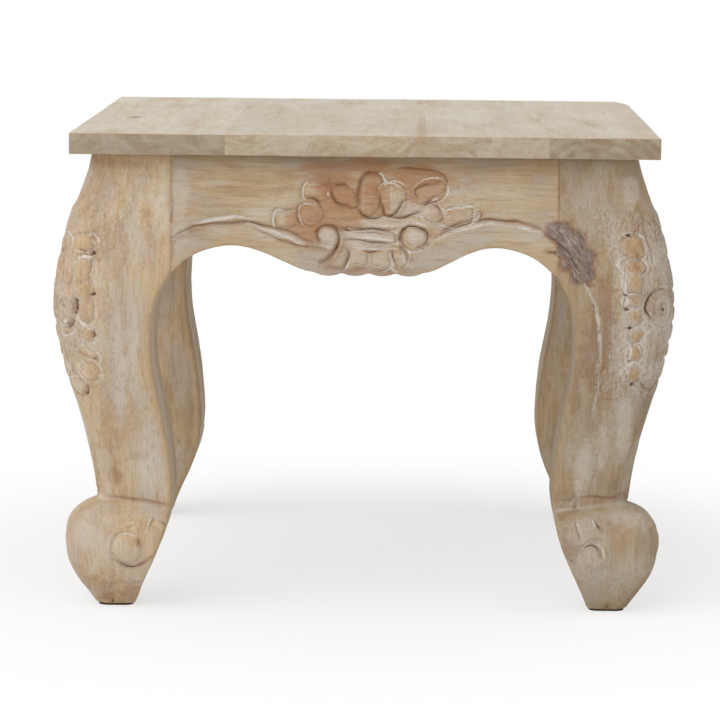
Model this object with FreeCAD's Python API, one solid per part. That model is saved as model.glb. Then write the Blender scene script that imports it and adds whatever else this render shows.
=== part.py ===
"""Low square coffee table of carved hardwood: scroll-footed legs, bombe aprons and a plank top.

Millimetres, +Z up, origin on the floor under the middle of the top, front face towards -Y.
"""

import FreeCAD, Part
import math
import os
from FreeCAD import Vector

# Overall sizes
table_height = 452.0
top_width = 550.0
top_depth = 550.0
top_thickness = 20.0
glide_thickness = 2.0

# Plank top, four boards that run from front to back
board_width_shares = (0.264, 0.324, 0.223, 0.189)
top_corner_radius = 7.0
top_edge_ease = 1.6

# Leg, with insets measured inwards from the edge of the top, heights from the floor and drops from the head
leg_head_inset = 18.0
leg_head_width = 77.0
knee_reach = 34.5
knee_drop = 140.0
knee_width = 93.5
waist_drop = 174.0
ankle_tuck = 38.5
ankle_height = 106.0
ankle_width = 72.5
scroll_reach = 28.6
toe_tuck = 29.1
toe_width = 37.5
head_corner_radius = 24.0
knee_corner_radius = 42.0
ankle_corner_radius = 22.0
scroll_corner_radius = 34.0
toe_corner_radius = 12.0

# Leg outline between those sizes, each row a height share and an outline share
head_to_knee_shares = ((0.50, 0.66),)
knee_to_ankle_shares = ((0.35, 0.285), (0.68, 0.715))
ankle_to_scroll_shares = ((0.12, 0.42), (0.42, 0.86))
ankle_slope_share = 0.14
scroll_to_toe_shares = ((0.36, 0.14), (0.66, 0.49))
scroll_height = 66.0
corner_pole_shares = (1.30, 0.55)
arch_to_waist_shares = ((0.12, 0.26), (0.28, 0.57), (0.55, 0.86))
waist_to_ankle_shares = ((0.23, 0.14), (0.52, 0.63), (0.83, 0.96))
ankle_to_toe_shares = ((0.33, 0.19), (0.56, 0.46), (0.79, 0.77))

# Scroll on each face of a foot
scroll_eye_radius = 12.5
scroll_eye_inset = 55.0
scroll_eye_height = 60.0
scroll_eye_rise = 2.2
scroll_groove_width = 3.0
scroll_groove_depth = 2.2
scroll_pitch = 11.0
scroll_turns = 0.95
scroll_points = 14

# Knee carving on the outer corner of a leg, laid out about the rosette
rosette_drop = 140.0
rosette_radius = 17.0
rosette_ring_width = 4.5
knee_relief = 3.4
rosette_gap = 3.0
knee_leaf_length = 55.0
knee_leaf_width = 11.0
knee_leaf_tilts = (-14.0, 0.0, 14.0)
knee_bead_span = 150.0
knee_bead_offset = 31.0
knee_bead_gap = 4.0
knee_bead_width = 11.0
knee_bead_count = 6

# Apron, with depths and drops measured down from the underside of the top
apron_end_depth = 110.0
arch_rise = 27.0
arch_apex_offset = 58.0
pendant_half_width = 50.0
pendant_depth = 106.5
pendant_scallops = 4
scallop_sag = 3.4
apron_head_thickness = 22.0
joint_to_apex_shares = ((0.14, 0.29), (0.345, 0.63), (0.55, 0.83), (0.79, 0.965))
apex_to_pendant_shares = ((0.19, 0.93), (0.39, 0.73), (0.58, 0.47), (0.75, 0.22), (0.89, 0.06))
border_width = 21.0
border_groove_width = 4.5
border_groove_depth = 2.6
border_points = 22

# Carved cartouche in the middle of an apron
cartouche_relief = 4.2
leaf_relief = 3.2
volute_radius = 14.5
volute_ring_width = 4.0
volute_eye_radius = 7.5
volute_spread = 40.0
volute_drop = 75.0
reed_count = 3
reed_height = 4.2
reed_gap = 1.8
gadroon_gap = 2.6
gadroon_top_width = 17.0
palmette_height = 50.0
palmette_half_width = 95.0
palmette_root_drop = 62.0
cartouche_shift = 5.0

# Petals of the palmette: root across, root up, length and head width as shares, then tilt in degrees
palmette_petal_shares = (
    (0.01, 0.02, 0.94, 0.45, 0.0),
    (0.185, 0.10, 0.66, 0.56, -9.0),
    (-0.10, 0.18, 0.68, 0.48, 46.0),
    (-0.40, 0.32, 0.60, 0.44, 42.0),
    (-0.46, 0.02, 0.52, 0.38, 57.0),
    (-0.67, 0.04, 0.58, 0.31, 78.0),
    (0.42, 0.26, 0.72, 0.50, -50.0),
    (0.50, 0.08, 0.44, 0.30, -57.0),
    (0.70, 0.02, 0.60, 0.36, -77.0),
)

# Joinery
tenon_length = 24.0
tenon_thickness = 11.0
tenon_cheek = 6.0
tenon_height = 60.0
tenon_shoulder = 14.0
joint_clearance = 0.15
corner_block_height = 45.0
corner_block_thickness = 24.0
leg_seat_chamfer = 14.0

# Screws
leg_screw_radius = 3.0
leg_screw_length = 58.0
leg_screw_spacing = 22.0
top_screw_radius = 2.25
top_screw_length = 38.0
top_screw_bite = 13.0
top_screw_spread = 34.0
screw_head_ratio = 2.0
screw_hole_clearance = 0.25
driver_slot_width_share = 0.25
driver_slot_depth_share = 0.35

# Foot glide
glide_margin = 2.0
glide_corner_radius = 9.0

# Workshop values
overrun = 60.0
section_degree = 3
X = Vector(1, 0, 0)
Y = Vector(0, 1, 0)
Z = Vector(0, 0, 1)
ORIGIN = Vector(0, 0, 0)

# Heights and insets worked out from the sizes above
leg_top = table_height - top_thickness
knee_height = leg_top - knee_drop
waist_height = leg_top - waist_drop
rosette_height = leg_top - rosette_drop
arch_spring_height = leg_top - apron_end_depth
pendant_height = leg_top - pendant_depth
volute_height = leg_top - volute_drop
palmette_root_height = leg_top - palmette_root_drop
joint_inset = leg_head_inset + leg_head_width
knee_inset = leg_head_inset - knee_reach
ankle_inset = knee_inset + ankle_tuck
scroll_inset = ankle_inset - scroll_reach
toe_inset = scroll_inset + toe_tuck
apron_back_inset = leg_head_inset + apron_head_thickness
root_two = math.sqrt(2)


def between(start, end, share):
    return start + (end - start) * share


def polygon_face(points):
    return Part.Face(Part.makePolygon(list(points) + [points[0]]))


def spline_edge(points):
    curve = Part.BSplineCurve()
    curve.interpolate(points)
    return curve.toShape()


def line_edge(start, end):
    return Part.LineSegment(start, end).toShape()


def closed_face(edges):
    return Part.Face(Part.Wire(Part.__sortEdges__(edges)))


# Leg outline


def outline_stations():
    """Rows of height, inset, outer corner radius and inward slope, from the head down to the ankle."""
    rows = [(leg_top, leg_head_inset, head_corner_radius, 0)]
    for drop, out in head_to_knee_shares:
        rows.append((
            between(leg_top, knee_height, drop),
            between(leg_head_inset, knee_inset, out),
            between(head_corner_radius, knee_corner_radius, drop),
            0,
        ))
    rows.append((knee_height, knee_inset, knee_corner_radius, 0))
    for drop, tuck in knee_to_ankle_shares:
        rows.append((
            between(knee_height, ankle_height, drop),
            between(knee_inset, ankle_inset, tuck),
            between(knee_corner_radius, ankle_corner_radius, drop),
            0,
        ))
    rows.append((ankle_height, ankle_inset, ankle_corner_radius, ankle_slope_share))
    return rows


def foot_stations():
    """Rows of height, inset, outer corner radius and inward slope, from the ankle down to the toe."""
    rows = [(ankle_height, ankle_inset, ankle_corner_radius, ankle_slope_share)]
    for drop, out in ankle_to_scroll_shares:
        rows.append((
            between(ankle_height, scroll_height, drop),
            between(ankle_inset, scroll_inset, out),
            between(ankle_corner_radius, scroll_corner_radius, drop),
            between(ankle_slope_share, 0, drop),
        ))
    rows.append((scroll_height, scroll_inset, scroll_corner_radius, 0))
    for drop, tuck in scroll_to_toe_shares:
        rows.append((
            between(scroll_height, glide_thickness, drop),
            between(scroll_inset, toe_inset, tuck),
            between(scroll_corner_radius, toe_corner_radius, drop),
            0,
        ))
    rows.append((glide_thickness, toe_inset, toe_corner_radius, 0))
    return rows


def corner_section(height, inset, radius, slope):
    """Leg section with a rounded outer corner, in insets from the top's edges, that falls inwards."""
    far = joint_inset
    straight, bend = (inset + radius * share for share in corner_pole_shares)
    half = [far, between(far, straight, 0.5), straight, bend]
    poles = [Vector(along, inset, height - slope * (along - inset)) for along in half]
    poles += [Vector(inset, along, height - slope * (along - inset)) for along in reversed(half)]
    spans = len(poles) - section_degree
    curve = Part.BSplineCurve()
    curve.buildFromPolesMultsKnots(
        poles,
        [section_degree + 1] + [1] * (spans - 1) + [section_degree + 1],
        list(range(spans + 1)),
        False,
        section_degree,
    )
    inner = Vector(far, far, height - 2 * slope * (far - inset))
    return Part.Wire([curve.toShape(), line_edge(poles[-1], inner), line_edge(inner, poles[0])])


def corner_loft(stations, swell=0.0):
    """Outer form of a leg through its stations, swollen outwards for relief or shrunk for a groove."""
    return Part.makeLoft([corner_section(z, inset - swell, *form) for z, inset, *form in stations], True)


def inner_outline():
    """Points of a leg's sawn inner outline in inset and height, from the apron's joint to the toe."""
    waist = knee_inset + knee_width
    ankle = ankle_inset + ankle_width
    toe = toe_inset + toe_width
    stretches = (
        (joint_inset, arch_spring_height, waist, waist_height, arch_to_waist_shares),
        (waist, waist_height, ankle, ankle_height, waist_to_ankle_shares),
        (ankle, ankle_height, toe, glide_thickness, ankle_to_toe_shares),
    )
    points = [Vector(joint_inset, 0, arch_spring_height)]
    for inset, height, next_inset, next_height, shares in stretches:
        for drop, move in shares:
            points.append(Vector(between(inset, next_inset, move), 0, between(height, next_height, drop)))
        points.append(Vector(next_inset, 0, next_height))
    return points


def inner_saw_cut():
    """Waste on the inside of a leg, as the first saw cut leaves it."""
    points = inner_outline()
    first, last = points[0], points[-1]
    outside = joint_inset + overrun
    corners = [
        last,
        Vector(last.x, 0, -overrun),
        Vector(outside, 0, -overrun),
        Vector(outside, 0, first.z),
        first,
    ]
    edges = [spline_edge(points)] + [line_edge(a, b) for a, b in zip(corners, corners[1:])]
    waste = closed_face(edges).extrude(Y * (joint_inset + overrun + overrun))
    waste.translate(Y * -overrun)
    return waste


def other_face(shape):
    """The same form on the leg's other outer face."""
    return shape.mirror(ORIGIN, Vector(1, -1, 0))


# Leg carving


def disc(radius, across, height):
    """Round face that looks along Y."""
    return Part.Face(Part.Wire(Part.makeCircle(radius, Vector(across, 0, height), Y)))


def ring(radius, width, across, height):
    return disc(radius, across, height).cut(disc(radius - width, across, height))


def petal(length, width, root_across, root_height, tilt):
    """Teardrop face that looks along Y, pointed at its root and round at its head, tilted in degrees."""
    radius = width / 2
    reach = length - radius
    lean = math.acos(radius / reach)
    shoulder = Vector(radius * math.sin(lean), 0, reach - radius * math.cos(lean))
    mirrored = Vector(-shoulder.x, 0, shoulder.z)
    edges = [
        line_edge(ORIGIN, shoulder),
        Part.Arc(shoulder, Vector(0, 0, length), mirrored).toShape(),
        line_edge(mirrored, ORIGIN),
    ]
    face = Part.Face(Part.Wire(edges))
    face.rotate(ORIGIN, Y, -tilt)
    face.translate(Vector(root_across, 0, root_height))
    return face


def oval(length, width, across, height, tilt):
    """Oval face that looks along Y, its long way up before it leans by tilt degrees."""
    ellipse = Part.Ellipse(ORIGIN, length / 2, width / 2).toShape()
    face = Part.Face(Part.Wire(ellipse))
    face.rotate(ORIGIN, Y, 90)
    face.rotate(ORIGIN, Z, 90)
    face.rotate(ORIGIN, Y, -tilt)
    face.translate(Vector(across, 0, height))
    return face


def knee_carving_faces():
    """Rosette, the leaves that fan out above and below it, and a column of beads on each side."""
    button = rosette_radius - rosette_ring_width - rosette_gap
    faces = [
        ring(rosette_radius, rosette_ring_width, 0, rosette_height),
        disc(button, 0, rosette_height),
    ]
    for tilt in knee_leaf_tilts:
        for turn in (0, 180):
            leaf = petal(knee_leaf_length, knee_leaf_width, 0, rosette_radius + rosette_gap, 0)
            leaf.rotate(ORIGIN, Y, tilt + turn)
            leaf.translate(Z * rosette_height)
            faces.append(leaf)
    pitch = knee_bead_span / knee_bead_count
    for side in (1, -1):
        for number in range(knee_bead_count):
            height = rosette_height + (number - (knee_bead_count - 1) / 2) * pitch
            faces.append(oval(pitch - knee_bead_gap, knee_bead_width, side * knee_bead_offset, height, 0))
    return faces


def knee_carving(stations):
    """Relief that stands out of the knee's rounded corner, rooted in the leg."""
    prisms = [face.extrude(Y * (overrun + joint_inset)) for face in knee_carving_faces()]
    for prism in prisms:
        prism.translate(Y * -overrun)
        prism.rotate(ORIGIN, Z, -45)
    return corner_loft(stations, knee_relief).common(prisms)


def scroll_groove_face():
    """Spiral band that winds out of the eye of a scroll and up to the ankle."""
    outer, inner = [], []
    for step in range(scroll_points + 1):
        share = step / scroll_points
        angle = math.pi / 4 - 2 * math.pi * scroll_turns * share
        radius = scroll_eye_radius + scroll_groove_width + scroll_pitch * share * share
        for points, side in ((outer, 1), (inner, -1)):
            reach = radius + side * scroll_groove_width / 2
            points.append(Vector(
                scroll_eye_inset + reach * math.cos(angle),
                0,
                scroll_eye_height + reach * math.sin(angle),
            ))
    return closed_face([
        spline_edge(outer),
        spline_edge(inner),
        line_edge(outer[0], inner[0]),
        line_edge(outer[-1], inner[-1]),
    ])


def through_front(face, depth):
    """Prism of a face from well in front of the outer surface to a depth behind the edge of the top."""
    prism = face.extrude(Y * (overrun + depth))
    prism.translate(Y * -overrun)
    return prism


def carved_foot():
    """Foot with a raised eye and a spiral groove on both of its outer faces."""
    stations = foot_stations()
    eye = through_front(disc(scroll_eye_radius, scroll_eye_inset, scroll_eye_height), scroll_eye_inset / 2)
    eye = eye.common(corner_loft(stations, scroll_eye_rise))
    groove = through_front(scroll_groove_face(), scroll_eye_inset / 2)
    groove = groove.cut(corner_loft(stations, -scroll_groove_depth))
    foot = corner_loft(stations).fuse([eye, other_face(eye)])
    return foot.cut([groove, other_face(groove)])


# Joinery shared by legs, aprons, blocks and top


def tenon_box(clearance=0.0):
    """Tenon in the leg's corner frame, reaching from the joint into the leg along X."""
    inset = leg_head_inset + tenon_cheek - clearance
    bottom = leg_top - tenon_shoulder - tenon_height - clearance
    return Part.makeBox(
        tenon_length + clearance,
        tenon_thickness + 2 * clearance,
        tenon_height + 2 * clearance,
        Vector(joint_inset - tenon_length - clearance, inset, bottom),
    )


def block_depths():
    """Distances of a corner block's outer and inner faces from the top's corner, along the diagonal."""
    outer = (2 * joint_inset - leg_seat_chamfer) / root_two
    return outer, outer + corner_block_thickness


def diagonal_place(along, depth, height):
    """Point in the leg's corner frame from its place across and along the diagonal."""
    return Vector((depth + along) / root_two, (depth - along) / root_two, height)


def leg_screw_places():
    """Head centre of each screw that pulls a leg against its corner block."""
    middle = leg_top - corner_block_height / 2
    return [diagonal_place(0, block_depths()[1], middle + way * leg_screw_spacing / 2) for way in (1, -1)]


def top_screw_places():
    """Tip centre of each screw that holds the top down on a corner block."""
    outer, inner = block_depths()
    return [
        diagonal_place(way * top_screw_spread, (outer + inner) / 2, leg_top + top_screw_bite)
        for way in (1, -1)
    ]


def screw(radius, length, head_at, way):
    """Countersunk screw with its head face at head_at, driven the given way."""
    head_radius = radius * screw_head_ratio
    head_depth = head_radius - radius
    profile = polygon_face([
        ORIGIN,
        Vector(head_radius, 0, 0),
        Vector(radius, 0, head_depth),
        Vector(radius, 0, length - radius),
        Vector(0, 0, length),
    ])
    body = profile.revolve(ORIGIN, Z, 360)
    slot_width = head_radius * driver_slot_width_share
    slot = Part.makeBox(
        2 * head_radius,
        slot_width,
        head_radius * driver_slot_depth_share,
        Vector(-head_radius, -slot_width / 2, 0),
    )
    body = body.cut(slot)
    body.Placement = FreeCAD.Placement(head_at, FreeCAD.Rotation(Z, way))
    return body


def screw_hole(radius, length, head_at, way, sink=0.0):
    """Hole for a countersunk screw, with a counterbore of depth sink above its head."""
    head_radius = radius * screw_head_ratio
    head_depth = head_radius - radius
    points = [
        Vector(0, 0, -sink),
        Vector(head_radius, 0, -sink),
        Vector(head_radius, 0, 0),
        Vector(radius, 0, head_depth),
        Vector(radius, 0, length - radius),
        Vector(0, 0, length),
    ]
    if sink == 0:
        points = points[2:]
        points.insert(0, ORIGIN)
    hole = polygon_face(points).revolve(ORIGIN, Z, 360)
    hole.Placement = FreeCAD.Placement(head_at, FreeCAD.Rotation(Z, way))
    return hole


inwards = Vector(-1, -1, 0).normalize()


def top_screw_head(place):
    return place - Z * top_screw_length


# Pieces in the leg's corner frame


def leg():
    stations = outline_stations()
    blank = corner_loft(stations).fuse([carved_foot(), knee_carving(stations)])
    waste = inner_saw_cut()
    mortise = tenon_box(joint_clearance)
    holes = [screw_hole(leg_screw_radius, leg_screw_length, place, inwards) for place in leg_screw_places()]
    return blank.cut([waste, other_face(waste), mortise, other_face(mortise), diagonal_seat()] + holes)


def diagonal_seat():
    """Waste of the flat that is planed on a leg's inner corner for the corner block."""
    outer = block_depths()[0]
    reach = 2 * joint_inset - outer * root_two
    points = [
        Vector(joint_inset, joint_inset, 0),
        Vector(joint_inset - reach, joint_inset, 0),
        Vector(joint_inset, joint_inset - reach, 0),
    ]
    seat = polygon_face(points).extrude(Z * corner_block_height)
    seat.translate(Z * (leg_top - corner_block_height))
    return seat


def corner_block():
    """Block that ties two aprons and a leg together under the top."""
    outer, inner = (depth * root_two for depth in block_depths())
    back = apron_back_inset
    points = [
        Vector(outer - back, back, 0),
        Vector(inner - back, back, 0),
        Vector(back, inner - back, 0),
        Vector(back, outer - back, 0),
    ]
    block = polygon_face(points).extrude(Z * corner_block_height)
    block.translate(Z * (leg_top - corner_block_height))
    for place in leg_screw_places():
        radius = leg_screw_radius + screw_hole_clearance
        block = block.cut(screw_hole(radius, leg_screw_length, place, inwards))
    for place in top_screw_places():
        head = top_screw_head(place)
        radius = top_screw_radius + screw_hole_clearance
        block = block.cut(screw_hole(radius, top_screw_length, head, Z, overrun))
    return block


def glide():
    """Thin felt pad under a toe."""
    near = toe_inset + glide_margin
    side = toe_width - 2 * glide_margin
    pad = Part.makeBox(side, side, glide_thickness, Vector(near, near, 0))
    upright = [edge for edge in pad.Edges if edge.Vertexes[0].X == edge.Vertexes[1].X
               and edge.Vertexes[0].Y == edge.Vertexes[1].Y]
    return pad.makeFillet(glide_corner_radius, upright)


# Apron, with X along its length from the middle


def apron_section(swell=0.0):
    """Cross-section whose bombe front follows the legs, swollen for relief or shrunk for a groove."""
    front = [Vector(0, inset - swell, z) for z, inset, *form in outline_stations()]
    top, bottom = front[0], front[-1]
    edges = [
        spline_edge(front),
        line_edge(bottom, Vector(0, apron_back_inset, bottom.z)),
        line_edge(Vector(0, apron_back_inset, bottom.z), Vector(0, apron_back_inset, top.z)),
        line_edge(Vector(0, apron_back_inset, top.z), top),
    ]
    return closed_face(edges)


def apron_bar(half_length, swell=0.0):
    """Apron-shaped bar before its lower edge is sawn."""
    bar = apron_section(swell).extrude(X * (2 * half_length))
    bar.translate(X * -half_length)
    return bar


def arch_points(half_length, side):
    """Points of half the lower edge, from the leg's joint to the pendant, right for 1 and left for -1."""
    apex_along = half_length - arch_apex_offset
    apex_height = arch_spring_height + arch_rise
    pendant_end = pendant_half_width + side * cartouche_shift
    points = [(half_length, arch_spring_height)]
    for move, rise in joint_to_apex_shares:
        height = between(arch_spring_height, apex_height, rise)
        points.append((between(half_length, apex_along, move), height))
    points.append((apex_along, apex_height))
    for move, rise in apex_to_pendant_shares:
        points.append((between(apex_along, pendant_end, move), between(pendant_height, apex_height, rise)))
    points.append((pendant_end, pendant_height))
    return [Vector(side * along, 0, height) for along, height in points]


def scallop_edges():
    """Lower edge of the pendant, lobe by lobe from left to right."""
    width = 2 * pendant_half_width / pendant_scallops
    edges = []
    for number in range(pendant_scallops):
        left = cartouche_shift - pendant_half_width + number * width
        start, end = Vector(left, 0, pendant_height), Vector(left + width, 0, pendant_height)
        lowest = Vector(left + width / 2, 0, pendant_height - scallop_sag)
        edges.append(Part.Arc(start, lowest, end).toShape())
    return edges


def apron_front_face(half_length):
    right, left = arch_points(half_length, 1), arch_points(half_length, -1)
    edges = [spline_edge(right), spline_edge(left)] + scallop_edges()
    corners = [right[0], Vector(half_length, 0, leg_top), Vector(-half_length, 0, leg_top), left[0]]
    edges += [line_edge(a, b) for a, b in zip(corners, corners[1:])]
    return closed_face(edges)


def border_groove_face(half_length, side):
    """Band of the groove that runs above the lower edge beside the cartouche."""
    curve = spline_edge(arch_points(half_length, side)).Curve
    first, last = curve.FirstParameter, curve.LastParameter
    lower, upper = [], []
    for step in range(border_points):
        at = between(first, last, step / border_points)
        along = curve.tangent(at)[0]
        upwards = Vector(side * along.z, 0, -side * along.x)
        lower.append(curve.value(at) + upwards * border_width)
        upper.append(curve.value(at) + upwards * (border_width + border_groove_width))
    return closed_face([
        spline_edge(lower),
        spline_edge(upper),
        line_edge(lower[0], upper[0]),
        line_edge(lower[-1], upper[-1]),
    ])


def cartouche_faces():
    """Volutes, the reeded bar between them and the gadroons of the pendant below."""
    faces = []
    for side in (1, -1):
        across = side * volute_spread
        faces.append(ring(volute_radius, volute_ring_width, across, volute_height))
        faces.append(disc(volute_eye_radius, across, volute_height))
    half = volute_spread - volute_radius - reed_gap
    pitch = reed_height + reed_gap
    for number in range(reed_count):
        bottom = volute_height + (number - reed_count / 2) * pitch
        faces.append(polygon_face([
            Vector(-half, 0, bottom),
            Vector(half, 0, bottom),
            Vector(half, 0, bottom + reed_height),
            Vector(-half, 0, bottom + reed_height),
        ]))
    top = volute_height - reed_count / 2 * pitch - reed_gap
    width = 2 * pendant_half_width / pendant_scallops
    for number in range(pendant_scallops):
        share = number - (pendant_scallops - 1) / 2
        upper, lower = share * gadroon_top_width, share * width
        upper_half, lower_half = (gadroon_top_width - gadroon_gap) / 2, (width - gadroon_gap) / 2
        faces.append(polygon_face([
            Vector(upper - upper_half, 0, top),
            Vector(upper + upper_half, 0, top),
            Vector(lower + lower_half, 0, pendant_height),
            Vector(lower - lower_half, 0, pendant_height),
        ]))
    return faces


def leaf_faces():
    """Petals of the palmette above the volutes and the leaves that run out along the border."""
    return [
        petal(
            palmette_height * length,
            palmette_height * width,
            palmette_half_width * across,
            palmette_root_height + palmette_height * up,
            tilt,
        )
        for across, up, length, width, tilt in palmette_petal_shares
    ]


def apron(half_length):
    """Apron with its sawn edge, border groove, cartouche and two tenons."""
    blank = through_front(apron_front_face(half_length), apron_back_inset + overrun)
    piece = blank.common(apron_bar(half_length))
    shrunk = apron_bar(half_length, -border_groove_depth)
    grooves = [through_front(border_groove_face(half_length, side), apron_back_inset) for side in (1, -1)]
    piece = piece.cut([groove.cut(shrunk) for groove in grooves])
    added = []
    for faces, relief in ((cartouche_faces(), cartouche_relief), (leaf_faces(), leaf_relief)):
        prisms = [through_front(face, apron_back_inset / 2) for face in faces]
        for prism in prisms:
            prism.translate(X * cartouche_shift)
        added.append(apron_bar(half_length, relief).common(blank).common(prisms))
    tenon = tenon_box()
    tenon.translate(X * -(half_length + joint_inset))
    added += [tenon, tenon.mirror(ORIGIN, X)]
    return piece.fuse(added)


# Placing


def at_corner(shape, turn):
    """Copy of a corner-frame shape at one of the four corners, anticlockwise from the front left."""
    half_width, half_depth = top_width / 2, top_depth / 2
    corners = (
        Vector(-half_width, -half_depth, 0),
        Vector(half_width, -half_depth, 0),
        Vector(half_width, half_depth, 0),
        Vector(-half_width, half_depth, 0),
    )
    placed = shape.copy()
    placed.rotate(ORIGIN, Z, 90 * turn)
    placed.translate(corners[turn])
    return placed


def at_side(shape, turn):
    """Copy of an apron on one of the four sides, counted anticlockwise from the front."""
    half_width, half_depth = top_width / 2, top_depth / 2
    middles = (
        Vector(0, -half_depth, 0),
        Vector(half_width, 0, 0),
        Vector(0, half_depth, 0),
        Vector(-half_width, 0, 0),
    )
    placed = shape.copy()
    placed.rotate(ORIGIN, Z, 90 * turn)
    placed.translate(middles[turn])
    return placed


CORNERS = ("front_left", "front_right", "back_right", "back_left")
SIDES = ("front", "right", "back", "left")


def top_boards():
    """Glued-up boards of the top, cut from one slab with eased edges and drilled for the top screws."""
    start = Vector(-top_width / 2, -top_depth / 2, leg_top)
    slab = Part.makeBox(top_width, top_depth, top_thickness, start)
    upright = [edge for edge in slab.Edges if edge.Vertexes[0].Z != edge.Vertexes[1].Z]
    slab = slab.makeFillet(top_corner_radius, upright)
    faces = [face for face in slab.Faces if abs(face.normalAt(0, 0).z) == 1]
    rims = [edge for face in faces for edge in face.Edges]
    slab = slab.makeFillet(top_edge_ease, rims)
    for turn in range(len(CORNERS)):
        for place in top_screw_places():
            hole = screw_hole(top_screw_radius, top_screw_length, top_screw_head(place), Z)
            slab = slab.cut(at_corner(hole, turn))
    boards = []
    left = -top_width / 2
    for share in board_width_shares:
        width = top_width * share
        strip = Part.makeBox(width, top_depth, top_thickness, Vector(left, -top_depth / 2, leg_top))
        boards.append(slab.common(strip))
        left += width
    return boards


def all_nodes():
    nodes = {}
    for number, board in enumerate(top_boards(), 1):
        nodes[f"top_board_{number}"] = board
    one_leg, one_block, one_glide = leg(), corner_block(), glide()
    for turn, corner in enumerate(CORNERS):
        nodes[f"leg_{corner}"] = at_corner(one_leg, turn)
        nodes[f"corner_block_{corner}"] = at_corner(one_block, turn)
        nodes[f"foot_glide_{corner}"] = at_corner(one_glide, turn)
    long_apron = apron(top_width / 2 - joint_inset)
    side_apron = long_apron if top_depth == top_width else apron(top_depth / 2 - joint_inset)
    for turn, side in enumerate(SIDES):
        nodes[f"apron_{side}"] = at_side(side_apron if turn % 2 else long_apron, turn)
    leg_screws = [screw(leg_screw_radius, leg_screw_length, p, inwards) for p in leg_screw_places()]
    heads = [top_screw_head(place) for place in top_screw_places()]
    top_screws = [screw(top_screw_radius, top_screw_length, head, Z) for head in heads]
    for name, screws in (("leg_screws", leg_screws), ("top_screws", top_screws)):
        placed = [at_corner(one, turn) for turn in range(len(CORNERS)) for one in screws]
        nodes[name] = Part.makeCompound(placed)
    return nodes


def main():
    os.makedirs("parts", exist_ok=True)
    for name, shape in all_nodes().items():
        solids = len(shape.Solids)
        print(f"{name}: valid {shape.isValid()}, solids {solids}, volume {shape.Volume / 1000:.1f} cm3")
        shape.exportStep(f"parts/{name}.step")


main()
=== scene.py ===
"""Dresses the solids of a carved coffee table: limed boards, carved legs and aprons, small pieces."""
import itertools
import math

import bpy
import numpy as np
from mathutils import Matrix, Vector


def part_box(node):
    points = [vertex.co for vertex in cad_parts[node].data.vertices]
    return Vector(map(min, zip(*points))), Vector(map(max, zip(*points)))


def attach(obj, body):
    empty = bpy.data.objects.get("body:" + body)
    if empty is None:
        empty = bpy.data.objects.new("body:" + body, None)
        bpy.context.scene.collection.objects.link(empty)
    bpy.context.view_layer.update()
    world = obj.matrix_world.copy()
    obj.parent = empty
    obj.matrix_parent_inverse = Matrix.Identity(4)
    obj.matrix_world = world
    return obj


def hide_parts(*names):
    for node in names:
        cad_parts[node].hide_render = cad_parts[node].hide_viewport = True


bl_info = {
    "name": "Carved Coffee Table",
    "version": (1, 0, 0),
    "blender": (4, 5, 0),
    "location": "View3D > Sidebar > Coffee Table",
    "description": "Dresses the solids of a carved and limed coffee table",
    "category": "Object",
}

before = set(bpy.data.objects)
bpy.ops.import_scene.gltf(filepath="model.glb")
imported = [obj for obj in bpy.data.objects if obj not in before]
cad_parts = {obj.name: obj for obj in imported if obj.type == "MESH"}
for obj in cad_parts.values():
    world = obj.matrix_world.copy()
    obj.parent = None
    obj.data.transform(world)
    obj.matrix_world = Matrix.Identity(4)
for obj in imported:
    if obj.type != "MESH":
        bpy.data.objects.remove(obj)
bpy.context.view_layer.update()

# Sizes in millimetres, the top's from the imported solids
MM = 1000
HALF_TOP = -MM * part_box("top_board_1")[0][1]
CORNER = (HALF_TOP, HALF_TOP, 0)
BOARD_MIDDLE = 442
APRON_HALF = 180.5
RELIEF = 4.5
CURVE_STEP = 0.7
FAR = 99.0

# How far the pieces lap at the joints, and between which places that sets in
JOINT_LAP = 1.3
APRON_END = (175, 180)
LEG_EDGE = (90, 95)
JOINT_FOOT = (322, 330)

# The knee's carving: half width, heights where it sets in, height where it ends, and what isn't mirrored
KNEE_HALF = 44
KNEE_FOOT = (203, 214)
KNEE_HEAD = 390
KNEE_MIDDLE = 6

# Least depth of a cut that needs the finest mesh
FINE_CUT = 0.4

# Spacing of the cuts across a board, in metres
BOARD_STEP = 0.012

# Numbers behind the sums: a root, the random field's table and how many points are measured at once
ROOT_2 = math.sqrt(2)
RIPPLE_HEIGHTS = 4096
HASH_PRIMES = (73856093, 19349663, 83492791)
CHUNK = 4000

# The camera that was fitted to the photo: place in metres, turns in radians and focal length
CAMERA_PLACE = (0.04842, -3.37369, 0.67782)
CAMERA_PAN, CAMERA_DIP, CAMERA_ROLL = 0.0164, 0.1397, 0.009
CAMERA_LENS = 167.26

# The sides of the aprons, and for each leg which way it stands, its tone and the strength of its cool wash
APRON_SIDES = ("front", "right", "back", "left")
LEGS = {
    "front_left": (-1, -1, 0.93, 0.6),
    # The front right leg's low tone is partly its darker wood and partly painted shade, for the light that
    # falls from the left
    "front_right": (1, -1, 0.66, 0.35),
    "back_right": (1, 1, 0.94, 0.5),
    "back_left": (-1, 1, 0.92, 0.6),
}

# The outer face's inset from the top's edge at heights up the leg, and the corner's rounding there
FACE_HEIGHTS = (106, 165, 227, 292, 362, 432)
FACE_INSETS = (22, 11, -5.5, -16.5, -4.8, 18)
CORNER_RADII = (22, 28.4, 35, 42, 33, 24)

# How wide each kind of line leaves lime, dirt with painted shade, and brown with painted shade, against its
# half width
LINE_TRACES = {
    "limed": {"limed": 0.72},
    "crease": {"crease": 0.42, "brown": 1.5},
    "both": {"limed": 0.72, "crease": 0.42, "brown": 1.5},
    "brown": {"brown": 1.5},
}

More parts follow.
